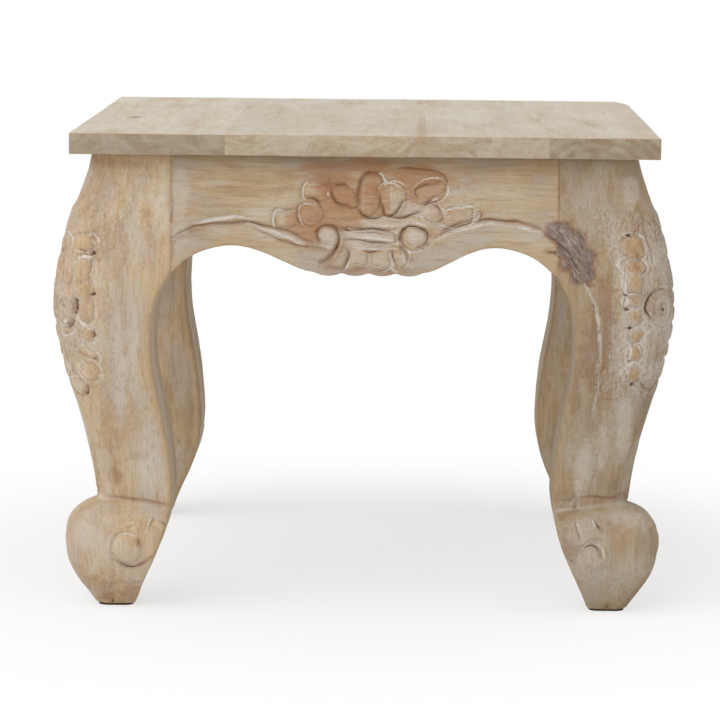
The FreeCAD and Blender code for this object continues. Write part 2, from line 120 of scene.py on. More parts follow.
# Carved lines by kind, each with its half width, depth and points, along and up the face, in millimetres
CARTOUCHE_LINES = {
    "crease": (
        (1.6, 1.8, -4, 385, -4.5, 393.5, -4, 404, -2, 411, 1.5, 415.5, 6.5, 417.5, 12.5, 416, 17, 412,
            18.5, 407.5),
        (1.6, 1.8, -7.5, 384.5, -4, 382.5, 0.5, 377.5, 8.5, 374.5, 15.5, 376, 19.5, 378.5),
        (1.6, 1.9, 15.5, 397.5, 16, 390, 18.5, 383.5, 19.5, 378.5, 25, 377.5, 30.5, 381, 34.5, 387, 36.5,
            390.5, 42, 392.5),
        (1.4, 1.7, -29.5, 403.5, -30, 396.5, -27.5, 391, -21.5, 387, -13, 384.5, -7.5, 384),
        (1.6, 1.0, -28, 405, -19.5, 406, -15, 404.5),
        (1.5, 1.5, -53.5, 393, -47.5, 392.5, -43.5, 390, -40, 384.5),
        (1.5, 1.7, 19.5, 378, 26, 376.5, 34.5, 376, 41.5, 378, 48, 380.5, 55, 382.5),
        (1.5, 1.5, 48, 394, 47.5, 400, 51, 404.5, 59, 407, 67.5, 408, 72.5, 411.5),
        (1.2, 0.8, 32.5, 421.5, 49.5, 421.5, 61.5, 419.5, 71, 417, 76.5, 410.5, 75, 402.5, 71, 397),
        (1.2, 1.4, 64.5, 388, 69.5, 386, 72, 381), (1.4, 1.5, 102, 374, 91.5, 371.5, 82, 368, 72.5, 364),
        (2.0, 2.6, -34, 350.5, -40, 352.5, -43.5, 358.5, -43, 364, -38.5, 367.5, -32, 368, -26, 365,
            -22.5, 358.5, -24, 350.5, -28, 343, -33.5, 337, -39, 334),
        (2.0, 2.6, 51, 349, 57.5, 353.5, 59, 359.5, 57, 364.5, 50, 368, 41.5, 368.5, 36.5, 364.5, 34.5,
            358, 35.5, 350, 39, 343, 44.5, 337),
        (1.6, 1.8, -19.5, 365, -11.5, 364.5, -2, 365.5, 9.5, 365, 19, 364, 30, 362),
        (1.8, 2.2, -15, 356, -2, 355.5, 7.5, 353.5, 19.5, 353, 29.5, 352),
        (1.8, 2.0, -14.5, 346.5, -13, 342.5, -15.5, 335, -17.5, 329.5),
        (1.6, 1.8, 1.5, 346, 6, 344, 14.5, 345.5),
        (1.8, 2.0, 26.5, 345.5, 27, 340.5, 29.5, 334, 31.5, 330),
        (1.3, 1.8, -181, 352.5, -170, 360.5, -157, 365.5, -143, 368.5, -127, 370, -110.5, 370.5, -96.5,
            368.5, -83.5, 365.5, -70.5, 363, -57.5, 357, -46.5, 351),
        (1.2, 1.2, -102.5, 366.5, -86.5, 358.5, -62.5, 350.5, -35, 346.5),
        (1.4, 1.3, -81.5, 382, -83, 374, -82, 366), (1.4, 1.4, -61, 381.5, -60, 374, -56, 368.5),
        (1.1, 1.6, 64.5, 357.5, 78.5, 364.5, 92, 369.5, 106, 373.5, 116, 375, 130, 374.5, 147, 372.5,
            162.5, 367.5, 171, 361),
        (1.0, 1.3, -9, 362.5, 8, 362, 20, 360.5, 30, 359),
        (0.9, 1.1, -13, 353.5, 4, 351.5, 16, 350.5, 29, 350),
        (1.8, 2.0, -18.5, 365, -15, 364, -11, 363.5), (1.5, 1.8, 28.5, 362.5, 30.5, 357, 30, 350),
        (1.3, 1.2, 48.5, 403, 47.5, 399, 50, 395),
    ),
    "limed": (
        (2.4, 1.6, 18.5, 407.5, 14.5, 404.5, 13.5, 400.5, 14.5, 397),
        (2.2, 1.5, 14, 403.5, 17.5, 406.5, 26, 407, 32, 404, 38, 400.5, 42.5, 398.5, 44.5, 394),
        (3.0, 1.6, 44.5, 402.5, 45.5, 398.5, 44.5, 394), (2.2, 0.5, 26, 403.5, 25.5, 394, 25, 381.5),
        (2.0, 1.7, -51.5, 408.5, -56, 405.5, -57.5, 401, -57, 395.5, -53.5, 389.5),
        (2.0, 1.7, -46, 387.5, -53.5, 388.5, -59, 386, -60.5, 380, -59, 373.5, -55.5, 368.5),
        (1.6, 1.0, -34.5, 399, -34, 394.5),
        (2.0, 1.6, 55, 382.5, 60, 387, 65, 389, 69.5, 387.5, 73, 382.5, 74, 377, 72, 373),
        (1.8, 1.5, 74, 378, 77.5, 383.5, 85.5, 385.5, 92.5, 385.5, 102, 389),
        (2.0, 1.6, 102, 389, 103, 382, 102.5, 374, 104, 371),
        (2.2, 1.0, 105.5, 383, 108, 378.5, 104.5, 373.5), (2.4, 0.8, 51, 349, 57.5, 350.5, 63, 355),
        (2.2, 0.4, -16, 358.5, 7.5, 357.5, 31, 355.5),
        (2.6, 1.0, -16, 350, -2, 348, 14.5, 347, 32.5, 348.5),
        (2.6, 0.4, -2, 370, 14.5, 368.5, 33.5, 369.5), (1.8, 0.8, -10.5, 345.5, -12.5, 338, -16.5, 329),
        (2.2, 1.0, 23.5, 347.5, 25, 339.5, 27.5, 330), (2.2, 1.2, 35, 347.5, 37.5, 339.5, 42, 332.5),
        (1.8, 1.5, -84, 366, -85, 374, -81.5, 382, -71, 381, -61, 382),
        (1.5, 1.0, 12.5, 417, 16.5, 414, 18, 410.5, 22, 407.5),
        (1.6, 1.2, 32, 403, 36.5, 402, 41, 399.5, 40, 394.5),
        (1.8, 1.3, 41.5, 402.5, 46, 401.5, 48, 399.5, 46, 394),
        (1.5, 1.2, 58, 388.5, 63, 391.5, 67.5, 393.5, 71, 390.5),
        (1.8, 1.3, 71.5, 386.5, 75.5, 381.5, 73.5, 375.5),
        (1.8, 1.0, 49, 348, 56, 348, 61.5, 351, 63, 357),
        (1.6, 0.8, -17, 329.5, -14, 332.5, -12.5, 339, -12, 344),
        (1.8, 0.8, 29, 330.5, 28, 336, 25.5, 343), (2.0, 0.8, 42.5, 331.5, 37.5, 336, 34.5, 343.5),
    ),
    "plain": (
        (1.0, 0.7, -12, 389.5, -16, 395.5, -21, 401), (1.0, 0.7, -10.5, 391, -12.5, 396.5, -15.5, 401.5),
        (1.0, 0.7, -13, 389, -18, 392.5, -24, 396), (1.0, 0.7, -12, 388, -18, 390, -25.5, 392),
        (1.4, 1.4, 5.5, 344, 5, 339, 4, 335.5), (1.4, 1.4, 7.5, 344, 9, 338.5, 10.5, 335),
        (1.6, 1.0, -17, 328, -4, 330.5, 5.5, 333, 15, 331, 23, 329, 32.5, 330, 42, 331),
    ),
    "both": (
        (1.8, 1.5, 68.5, 395.5, 63, 392.5, 58.5, 388.5, 55.5, 386),
        (1.3, 1.2, 104, 380.5, 106.5, 382, 109, 380, 109, 377, 106.5, 375.5, 104, 376.5),
    ),
    "band": (
        (1.7, 1.3, -157, 369, -143, 372.5, -127, 375, -112.5, 375, -103, 373.5),
        (1.7, 1.3, -109, 369.5, -96, 365.5, -83.5, 362, -70.5, 358, -56, 351.5),
        (1.7, 1.3, 61.5, 355.5, 72, 359.5, 82, 363.5, 104.5, 369.5, 123, 371.5, 145, 368.5, 163.5, 364),
        (1.7, 1.3, -96.5, 364, -85, 362.5, -72, 358, -58, 351.5),
    ),
    "rib": (
        (1.8, 1.7, -44, 365.5, -38.5, 369, -30.5, 370, -22.5, 366.5, -19.5, 358.5, -21, 349, -25, 341,
            -31.5, 333, -36.5, 329.5),
        (1.8, 1.7, 60.5, 363, 56.5, 368, 50, 370, 42, 370, 35.5, 366, 32, 358.5, 33, 348, 36, 339.5,
            41.5, 332, 46.5, 329),
    ),
    "brown": (
        (1.2, 0.9, -41, 330, -35.5, 332, -28.5, 339.5, -22.5, 349),
        (2.2, 0.6, -27.5, 404, -33, 409, -38.5, 408), (2.0, 0.6, -4, 405, -6, 395, -5, 386),
        (2.4, 0.8, -36, 331, -24, 328.5, -12, 327, 4, 330, 16, 328, 28, 326.5, 40, 328),
        (3.0, 0.3, -41.5, 409, -32, 407, -19, 405.5),
    ),
}
BARK_LINES = {
    "crease": (
        (2.4, 2.2, 171, 361, 179.5, 355.5, 188.5, 348, 195.5, 337, 199, 329.5),
        (2.0, 1.6, 170.5, 346.5, 180, 343.5, 186, 337), (0.9, 0.8, -178.5, 392, -178, 381, -179, 370),
        (1.2, 1.2, 200.5, 338.5, 207.5, 330.5, 211.5, 322),
    ),
    "brown": (
        (0.9, 0.8, -178, 424, -179, 404, -178, 384, -179, 362, -177, 345, -179, 330),
        (2.2, 0.5, -179, 352, -172, 356, -162, 361, -150, 365),
    ),
    "limed": (
        (2.0, 0.6, -174, 372, -176, 352, -173, 340),
    ),
}
RIGHT_KNEE_LINES = {
    "brown": (
        (1.5, 1.2, 6.5, 378.5, 12, 374, 16.5, 367, 20, 362.5),
        (2.6, 0.6, 9.5, 312.5, 16.5, 305, 19, 295, 15.5, 284.5),
        (1.2, 0.8, 4, 376.5, -0.5, 363, -2, 344.5, -1, 329.5),
        (1.2, 0.8, -2, 377.5, -11, 361, -20.5, 342.5), (1.2, 0.8, 13.5, 361, 12, 345, 13, 329.5),
        (1.2, 0.8, 19, 327, 21, 317.5, 24, 307.5), (1.6, 1.4, 14.5, 285.5, 7, 278, -3.5, 275.5),
        (1.3, 0.9, 16, 271, 15, 251.5, 11, 226.5), (1.3, 0.9, 10.5, 272, 9, 251, 6.5, 231.5),
        (1.3, 0.9, 4, 270, 1, 252, -1, 234.5), (1.3, 0.9, -5.5, 270.5, -10, 254.5, -10.5, 240),
        (1.3, 0.9, -14.5, 272, -18, 258.5, -17.5, 251),
        (1.8, 0.8, 7, 310, 12.5, 304.5, 14.5, 297, 12.5, 288, 8, 282),
        (1.2, 0.8, 24, 350, 22, 343, 24.5, 336, 22.5, 328), (1.2, 0.8, 14, 374, 16, 360, 14.5, 348),
    ),
    "limed": (
        (1.3, 1.0, 20, 363.5, 24.5, 361, 29, 354), (1.0, 0.8, 9, 378, 14.5, 373, 18, 366),
        (1.2, 0.8, 11, 315, 19.5, 307, 22, 295, 18, 281.5),
        (1.4, 1.0, 7.5, 304.5, 11, 297, 9, 289.5, 2, 286.5, -5, 289.5, -5.5, 298.5, 0.5, 304, 7.5, 304.5),
        (3.0, 1.2, 30, 242.5, 27, 230.5, 20, 222.5, 7, 210.5),
        (2.0, 0.9, 16.5, 327, 21, 317.5, 20.5, 307.5, 22, 301, 21, 287.5, 23, 278.5, 18.5, 272, 15.5,
            262, 14.5, 246, 16.5, 238.5),
        (1.8, 1.1, 30.5, 355, 29, 340.5, 31, 328, 32, 313.5, 31.5, 306, 32.5, 292.5, 28.5, 280, 28, 267,
            26, 254, 25, 238.5, 22.5, 227),
        (2.6, 0.8, 12, 276, 17, 271, 21, 262, 20, 255), (2.0, 1.2, 29, 339.5, 24.5, 340.5, 20.5, 339.5),
        (2.0, 1.2, 32.5, 308.5, 28, 309.5, 24, 308.5), (2.0, 1.2, 31.5, 295, 27.5, 296, 23.5, 295),
        (2.0, 1.2, 30, 278.5, 26, 279.5, 21.5, 278), (2.0, 1.2, 26.5, 260, 23, 261, 17.5, 260),
        (2.0, 1.2, 25, 243.5, 21, 244.5, 15.5, 243),
    ),
    "crease": (
        (1.2, 1.0, 6.5, 378.5, 10, 372, 10.5, 361, 8, 345, 7, 334),
        (2.6, 2.2, 9.5, 311.5, 16, 304, 18, 295, 14.5, 285.5),
        (1.4, 1.3, 9.5, 311.5, 2, 312.5, -4.5, 309.5), (1.5, 1.3, -8, 304.5, -14.5, 302, -13, 298),
        (1.4, 1.0, 11.5, 225, 6.5, 218.5, 1, 214.5),
        (1.0, 1.2, 5, 294, 3.5, 298, 0, 299.5, -4, 298, -5, 294, -3.5, 290, 0, 288.5, 3.5, 290, 5, 294),
    ),
    "both": (
        (1.2, 1.1, -3, 281, -9, 284.5, -12.5, 290, -13, 297),
    ),
}
LEFT_KNEE_LINES = {
    "limed": (
        (2.0, 1.6, -2, 349.5, 1.5, 355, 11, 358.5, 18.5, 357, 22.5, 351.5, 23.5, 343.5),
        (2.0, 1.0, 10.5, 336, 17, 338, 23, 337.5), (1.6, 1.0, 20.5, 328.5, 19.5, 324, 19, 320),
        (1.5, 1.6, 25, 337.5, 25.5, 328, 24.5, 321.5, 27, 314.5, 26.5, 307),
        (1.6, 1.0, 25, 306, 28.5, 307, 28, 302), (1.6, 1.4, 28.5, 302, 29.5, 292, 29, 282, 27.5, 274),
        (1.6, 1.0, 16, 281, 20.5, 276, 26, 274), (1.8, 0.8, 1.5, 345, 4, 328, 3, 312),
        (1.8, 0.8, -7, 345, -4, 328, -1, 312), (2.6, 1.0, 5.5, 280, -1.5, 273.5, -5.5, 270.5),
        (1.8, 1.3, 22, 272.5, 25.5, 270.5, 28.5, 269),
        (1.6, 1.2, 14.5, 261.5, 16.5, 255, 19.5, 249, 22.5, 248),
        (1.6, 1.2, 12.5, 248, 17, 243, 22.5, 239, 25, 234, 26, 228, 23, 221.5, 17, 218.5, 11.5, 218.5),
        (1.6, 1.0, 8, 237, 10, 232.5, 14, 229.5), (1.6, 1.0, 3, 244, 6, 234, 12, 226, 18, 223),
        (2.2, 0.9, -9, 266, -2, 262, 6, 264, 12, 270), (1.4, 0.8, -13, 262, -12, 246, -10, 230),
    ),
    "crease": (
        (2.0, 1.8, 12.5, 341, 18, 339.5, 22.5, 340.5, 23, 344.5),
        (3.2, 2.6, 13.5, 297, 12.5, 290.5, 12.5, 284.5), (2.6, 2.2, 10.5, 279, 6.5, 273, -2.5, 268.5),
        (1.6, 1.4, 28, 268.5, 28, 264, 26, 261.5), (1.6, 1.3, 12, 218, 8.5, 208.5, -1, 201),
    ),
    "brown": (
        (1.2, 0.8, 24, 335, 24.5, 327, 23.5, 320), (1.4, 0.9, 10, 252, 15, 246, 20, 243),
        (1.6, 1.2, -4, 241, -2, 227, 5, 219.5, 12, 218), (1.2, 0.8, -9, 351, -5, 329.5, 0, 312.5),
        (1.2, 0.8, -15, 341, -11.5, 325, -6.5, 312), (1.2, 0.8, -7.5, 253.5, -8, 238, -9.5, 218),
        (1.2, 0.8, 6, 310.5, 9, 316, 9, 326),
    ),
    "both": (
        (1.2, 1.0, 4, 290, 3, 294, -1, 294.5, -3, 291, -2, 287, 2, 286, 4, 290),
    ),
}
LEFT_FOOT_LINES = {
    "limed": (
        (1.8, 1.4, 62, 73.5, 54.5, 75.5, 46.5, 73.5, 42, 68, 40.5, 60, 42, 50.5),
        (1.6, 1.0, 67, 63, 67, 56.5, 65.5, 52, 59.5, 49),
        (2.0, 1.2, 80, 99.5, 78.5, 91.5, 74.5, 82.5, 70.5, 72.5),
    ),
    "crease": (
        (1.8, 2.0, 42, 50, 49, 45.5, 57.5, 42.5, 66, 44.5, 74.5, 49.5, 82, 55),
        (1.8, 1.6, 64.5, 69.5, 65.5, 66, 67, 63), (1.2, 0.8, 81, 98.5, 79.5, 90, 75, 79),
        (1.2, 0.8, 86, 87, 90, 84, 95.5, 82), (1.6, 1.6, 39, 9, 39, 5, 38.5, 0.5),
    ),
    "brown": (
        (1.6, 0.9, 27.5, 106.5, 38.5, 104, 52.5, 103, 64.5, 102.5, 73, 101, 82, 98.5, 96.5, 96),
    ),
}
RIGHT_FOOT_LINES = {
    "crease": (
        (1.6, 1.8, 65.5, 64.5, 63.5, 68, 59, 69.5, 53.5, 67.5, 50, 62, 49, 57),
        (1.4, 1.2, 73, 102.5, 73, 96, 72.5, 87, 70, 79, 68.5, 74), (1.4, 1.2, 55.5, 93, 53, 87, 48, 82.5),
        (1.4, 1.2, 79.5, 56, 76, 53.5, 73, 51), (1.6, 1.4, 40, 7, 41.5, 4, 43, 2),
    ),
    "limed": (
        (2.2, 1.2, 69.5, 58, 66.5, 67, 61.5, 71.5, 54.5, 73, 48.5, 68, 46, 59.5),
        (1.8, 0.8, 57, 96, 56.5, 88.5, 53, 84), (1.8, 1.2, 89.5, 105.5, 78.5, 106, 73.5, 110),
    ),
    "band": (
        (1.5, 1.6, 72.5, 127.5, 72, 115, 71.5, 105.5, 72, 99, 71.5, 90.5, 69, 81, 67, 73),
    ),
    "brown": (
        (1.4, 0.9, 65.5, 110, 54, 110.5, 42, 109.5, 34.5, 110, 26.5, 113.5),
    ),
}
RIGHT_LEG_LINES = {
    "band": (
        (1.5, 1.6, 76.5, 334, 68, 315.5, 61.5, 302, 57, 287, 54.5, 268, 53.5, 251.5, 55, 235.5, 55.5,
            218.5, 57, 203, 58, 188),
    ),
    "crease": (
        (1.3, 1.2, 62.5, 301, 59.5, 294.5), (1.3, 1.2, 56, 238.5, 55.5, 229),
        (0.9, 0.8, 54.5, 268, 53.5, 251.5, 55, 235.5, 55.5, 218.5, 57, 203),
    ),
    "limed": (
        (1.4, 0.6, 72, 325, 65, 309, 60, 296, 57, 280),
    ),
    "plain": (
        (0.6, 0.4, 56.5, 422.5, 56.5, 389, 56.5, 345.5),
    ),
}

# Raised leaves and lobes: middle along and up, half sizes, tilt in degrees and height
CARTOUCHE_LOBES = (
    (6, 397, 10.5, 20, -8, 2.6), (27.5, 392.5, 12, 14, -14, 2.6), (-17.5, 394.5, 14, 8.5, -32, 2.3),
    (-44, 399.5, 13, 8.5, -10, 2.2), (-49, 378, 11, 9, 10, 2.2), (-72, 374, 12, 7, 6, 1.7),
    (60.5, 399.5, 15, 10, 18, 2.2), (65, 380, 9, 7, -10, 2.0), (88.5, 377, 15, 8, 12, 2.0),
    (-33.5, 357, 11.5, 12, 0, 2.6), (47.5, 358.5, 12, 11.5, 0, 2.6), (6, 360, 24, 5.5, -5, 1.5),
    (6, 349.5, 24, 3.6, -3, 1.2), (8, 370, 26, 4.5, -3, 1.4), (-5, 338, 8.5, 9, 0, 1.6),
    (17.5, 338, 8.5, 9, 0, 1.6), (-24, 338, 7.5, 9, 20, 1.4), (34, 338, 6.5, 9, -20, 1.4),
)
RIGHT_KNEE_LOBES = (
    (22.5, 351.5, 8, 11, 6, 2.6), (25, 333.5, 8, 6.5, 0, 2.4), (26.5, 320, 5.6, 10, -4, 2.3),
    (28, 302, 5, 5.6, 10, 2.0), (26.5, 288, 4.6, 7.4, -12, 2.2), (24, 269, 5.4, 6.6, 0, 2.5),
    (22, 252.5, 5, 7.6, 0, 2.4), (19.5, 233, 5.2, 8, 0, 2.3), (0, 294, 17, 17.5, 0, 2.8),
    (0, 294, 6.5, 6.5, 0, 1.8), (8.5, 342, 7.5, 30, -6, 1.8), (7.5, 247, 7.5, 26, 8, 1.8),
    (0, 350, 8, 28, 0, 1.6), (0, 238, 8, 30, 0, 1.6),
)
LEFT_KNEE_LOBES = (
    (13, 351, 10, 7.5, 0, 2.6), (19, 326, 7, 10, 0, 2.4), (22, 307, 6, 9, 0, 2.2),
    (23.5, 288, 5.4, 11, 0, 2.3), (24, 264.5, 4.6, 6, 0, 2.3), (19, 244, 6, 8, 25, 2.0),
    (17, 228, 8.5, 7.5, 0, 2.4), (0, 290, 15, 16, 0, 2.8), (0, 290, 6, 6, 0, 1.6),
    (5, 328, 7.5, 18, -6, 1.8), (5.5, 250, 7, 22, 8, 1.8), (0, 212, 10, 8, 0, 1.8),
)
RIGHT_KNEE_HOLES = (
    (23, 362.5), (31, 308), (28.5, 277.5), (24, 245), (17.5, 223), (31.5, 294.5), (0, 294),
)
LEFT_KNEE_HOLES = (
    (14.5, 342), (22.5, 341.5), (28.5, 303), (0, 290), (24, 241.5), (7.5, 207), (13.4, 296), (13, 292.5),
    (12.8, 289), (12.4, 285.5), (10, 278), (7, 274.5), (3.5, 272),
)

# Washes of chalk and of brown down the front faces of the legs: middle, half sizes and strength
LEFT_LEG_CHALK = (
    (48, 236, 6, 67, 0.7), (62, 270, 4, 26, 0.6), (29, 136, 11, 31, 0.5), (75, 142, 11, 36, 0.5),
    (85, 376, 12, 27, 0.5),
)
LEFT_LEG_BROWN = (
    (42, 350, 11, 27, 0.35), (41, 126, 10, 7, 0.9), (51, 282, 4, 31, 0.4), (62, 146, 15, 7, 0.6),
    (52, 165, 26, 34, 0.3), (45, 422, 25, 4, 0.5), (60, 15, 13, 11, 0.6), (33, 9, 9, 7, 0.7),
)
RIGHT_LEG_CHALK = (
    (67, 139, 8, 28, 0.7), (28, 178, 7, 36, 0.8), (27, 403, 8, 16, 0.6), (49, 162, 5, 30, 0.5),
    (73, 87, 10, 20, 0.5), (59, 66, 12, 32, 0.45),
)
RIGHT_LEG_BROWN = (
    (75, 217, 6, 29, 0.6), (79, 81, 10, 31, 0.6), (53, 260, 20, 70, 0.75), (43, 96, 16, 14, 0.35),
)

# Orange heartwood in the cartouche: middle, half sizes and strength
CARTOUCHE_STAINS = (
    (-20, 400, 34, 26, 0.95), (-38, 372, 34, 18, 0.85), (8, 398, 16, 26, 0.9), (46, 413, 38, 12, 0.85),
    (0, 421, 60, 9, 0.75), (58, 398, 20, 12, 0.55), (88, 378, 16, 9, 0.35), (66, 382, 8, 6, 0.5),
)

# Chalky lime in and under the cartouche: middle, half sizes and strength
CARTOUCHE_CHALK = (
    (-33, 357, 9, 10, 0.85), (47.5, 358.5, 10, 10, 0.8), (6, 357, 27, 11, 0.9), (8, 338, 30, 8, 0.5),
    (54, 382, 20, 8, 0.6), (28, 371, 40, 6, 0.6), (31, 391, 11, 13, 0.45), (-95, 376, 22, 7, 0.4),
    (-173, 385, 10, 40, 0.5), (-84, 359, 26, 5, 0.5),
)

# What the left and the right kind of knee and of outer face carry
KNEES = (
    (LEFT_KNEE_LINES, LEFT_KNEE_LOBES, LEFT_KNEE_HOLES),
    (RIGHT_KNEE_LINES, RIGHT_KNEE_LOBES, RIGHT_KNEE_HOLES),
)
FACE_LINES = ((LEFT_FOOT_LINES,), (RIGHT_FOOT_LINES, RIGHT_LEG_LINES))
FACE_WASHES = ((LEFT_LEG_CHALK, LEFT_LEG_BROWN), (RIGHT_LEG_CHALK, RIGHT_LEG_BROWN))

# The bark patch on the front right corner: its leg, its fall, and its spine along, up and in half width
BARK_LEG = 1
BARK_FALL = math.radians(-54)
BARK_SPINE = ((177, 367, 8), (185, 359, 14), (194, 348, 16), (201, 336, 14), (207, 325, 9))

# Marks of the top's boards: middle, half sizes, strength and tint
KNOT = (-231.0, -50.0, 9.0, 22.0, 0.6, "pore_brown")
PALE_LEFT = (-165.0, 20.0, 34.0, 150.0, 0.3, "chalk")
AMBER_MIDDLE = (-29.0, -34.0, 60.0, 60.0, 0.4, "honey_wood")
AMBER_FRONT = (-64.0, -154.0, 40.0, 60.0, 0.35, "honey_wood")
BROWN_STREAK = (53.0, -170.0, 8.0, 240.0, 0.6, "bare_wood")
RIGHT_HEART = (262.0, 0.0, 14.0, 70.0, 0.3, "honey_wood")

# The boards: pith along and up, tones of the end and the face, strength of the rings, and marks
BOARDS = (
    (-60.0, -40.0, 0.73, 1.0, 0.06, (KNOT, PALE_LEFT)),
    (30.0, 90.0, 1.0, 0.95, 0.1, (AMBER_MIDDLE, AMBER_FRONT)),
    (-25.0, -70.0, 0.98, 0.94, 0.1, (BROWN_STREAK,)),
    (10.0, 60.0, 0.78, 0.95, 0.35, (RIGHT_HEART,)),
)


# Small helpers for picking, copying and finishing an object
def only(obj):
    """Makes one object the sole selected and active one."""
    bpy.ops.object.select_all(action="DESELECT")
    obj.select_set(True)
    bpy.context.view_layer.objects.active = obj


def shape_by(obj, kind, **settings):
    """Adds one modifier, sets it and applies it."""
    only(obj)
    modifier = obj.modifiers.new(kind.title(), kind)
    for key, value in settings.items():
        setattr(modifier, key, value)
    bpy.ops.object.modifier_apply(modifier=modifier.name)


def copy_of(node, name):
    """A new object with a merged copy of a node's mesh."""
    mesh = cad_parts[node].data.copy()
    mesh.name = name
    mesh.materials.clear()
    obj = bpy.data.objects.new(name, mesh)
    bpy.context.scene.collection.objects.link(obj)
    only(obj)
    bpy.ops.object.mode_set(mode="EDIT")
    bpy.ops.mesh.select_all(action="SELECT")
    bpy.ops.mesh.remove_doubles(threshold=1e-6)
    bpy.ops.object.mode_set(mode="OBJECT")
    return obj


def vertex_numbers(obj, kind):
    """Three numbers for each vertex: its place in metres or its normal."""
    flat = np.empty(3 * len(obj.data.vertices), np.float32)
    obj.data.vertices.foreach_get(kind, flat)
    return flat.reshape(-1, 3).astype(float)


def points_of(obj):
    """Vertex places in millimetres."""
    return vertex_numbers(obj, "co") * MM


def move_points(obj, points):
    """Puts vertices at places given in millimetres."""
    obj.data.vertices.foreach_set("co", (points / MM).astype(np.float32).ravel())
    obj.data.update()


def normals_of(obj):
    """Vertex normals."""
    return vertex_numbers(obj, "normal")


def settle(obj, node, held):
    """Lays the vertices back on the plain solid, each by the share that isn't held."""
    before = points_of(obj)
    shape_by(obj, "SHRINKWRAP", target=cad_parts[node], wrap_method="NEAREST_SURFACEPOINT")
    after = points_of(obj)
    move_points(obj, after + (before - after) * np.asarray(held, float)[:, None])


def subdivide_where(obj, chosen):
    """Cuts the faces whose vertices are all chosen into quarters."""
    faces = obj.data.polygons
    loops = np.empty(len(obj.data.loops), np.int32)
    obj.data.loops.foreach_get("vertex_index", loops)
    starts = np.empty(len(faces), np.int32)
    faces.foreach_get("loop_start", starts)
    inside = np.minimum.reduceat(chosen[loops].astype(np.int8), starts) > 0
    only(obj)
    bpy.ops.object.mode_set(mode="EDIT")
    bpy.ops.mesh.select_mode(type="FACE")
    bpy.ops.mesh.select_all(action="DESELECT")
    bpy.ops.object.mode_set(mode="OBJECT")
    faces.foreach_set("select", inside)
    bpy.ops.object.mode_set(mode="EDIT")
    bpy.ops.mesh.subdivide(number_cuts=1, smoothness=0)
    bpy.ops.object.mode_set(mode="OBJECT")


def neighbour_mean(obj, points, rounds):
    """Places averaged over the neighbours, some rounds in a row."""
    count = len(points)
    ends = np.empty(2 * len(obj.data.edges), np.int32)
    obj.data.edges.foreach_get("vertices", ends)
    a, b = ends[0::2], ends[1::2]
    links = np.maximum(np.bincount(ends, minlength=count), 1)
    for _ in range(rounds):
        sums = [np.bincount(a, axis[b], count) + np.bincount(b, axis[a], count) for axis in points.T]
        points = np.stack(sums, axis=1) / links[:, None]
    return points


def soften(obj, share, rounds):
    """Rounds the surface off where the share says so."""
    for _ in range(rounds):
        points = points_of(obj)
        mean = neighbour_mean(obj, points, 1)
        move_points(obj, points + (mean - points) * 0.5 * np.asarray(share, float)[:, None])


def bulge(obj, rounds):
    """How far each vertex stands out from (positive) or lies in (negative) the mean of its neighbours."""
    points = points_of(obj)
    return ((points - neighbour_mean(obj, points, rounds)) * normals_of(obj)).sum(axis=1)


def keep_layers(obj, **layers):
    """Stores numbers for each vertex, for the finish to read."""
    for name, values in layers.items():
        layer = obj.data.attributes.new(name, "FLOAT", "POINT")
        layer.data.foreach_set("value", np.asarray(values, np.float32))


def ripple(points, length, seed):
    """Soft random heights between -1 and 1 that change over a length, the same on each run."""
    chance = np.random.default_rng(seed)
    heights = chance.uniform(-1, 1, RIPPLE_HEIGHTS)
    axes = points.shape[1]
    spot = points / length + chance.uniform(10, 60, axes)
    cell = np.floor(spot).astype(np.int64)
    share = spot - cell
    share = share * share * (3 - 2 * share)
    total = np.zeros(len(points))
    for corner in itertools.product((0, 1), repeat=axes):
        weight = np.prod(np.where(corner, share, 1 - share), axis=1)
        mixed = (cell + corner) * HASH_PRIMES[:axes]
        total += weight * heights[np.bitwise_xor.reduce(mixed, axis=1) & (RIPPLE_HEIGHTS - 1)]
    return total


def ease(value, low, high):
    """Rises smoothly from 0 at low to 1 at high."""
    share = np.clip((value - low) / (high - low), 0, 1)
    return share * share * (3 - 2 * share)


# Carving, worked out on a face's own flat plan
def smooth_line(points):
    """Points close together on a curve through the given ones."""
    given = np.array(points, float)
    padded = np.vstack([2 * given[0] - given[1], given, 2 * given[-1] - given[-2]])
    pieces = []
    for p, q, r, s in zip(padded, padded[1:], padded[2:], padded[3:]):
        steps = max(2, int(np.linalg.norm(r - q) / CURVE_STEP))
        k = np.linspace(0, 1, steps, endpoint=False)[:, None]
        square = 2 * p - 5 * q + 4 * r - s
        cube = 3 * q - p - 3 * r + s
        pieces.append(0.5 * (2 * q + (r - p) * k + square * k**2 + cube * k**3))
    return np.vstack(pieces + [given[-1:]])


def waver(plan, seed, much):
    """The plan a little out of true, as cut by hand."""
    wide = np.stack([ripple(plan, 13, seed), ripple(plan, 13, seed + 1)], axis=1)
    close = np.stack([ripple(plan, 5, seed + 2), ripple(plan, 5, seed + 3)], axis=1)
    return plan + much * (wide + 0.4 * close)


def nearest(plan, curve):
    """Distance from each point of a plan to a curve, and how far along the curve that is."""
    gap, end = np.empty((2, len(plan)))
    for first in range(0, len(plan), CHUNK):
        part = slice(first, first + CHUNK)
        away = np.linalg.norm(plan[part][:, None] - curve[None], axis=2)
        gap[part] = away.min(1)
        end[part] = away.argmin(1) / (len(curve) - 1)
    return gap, end


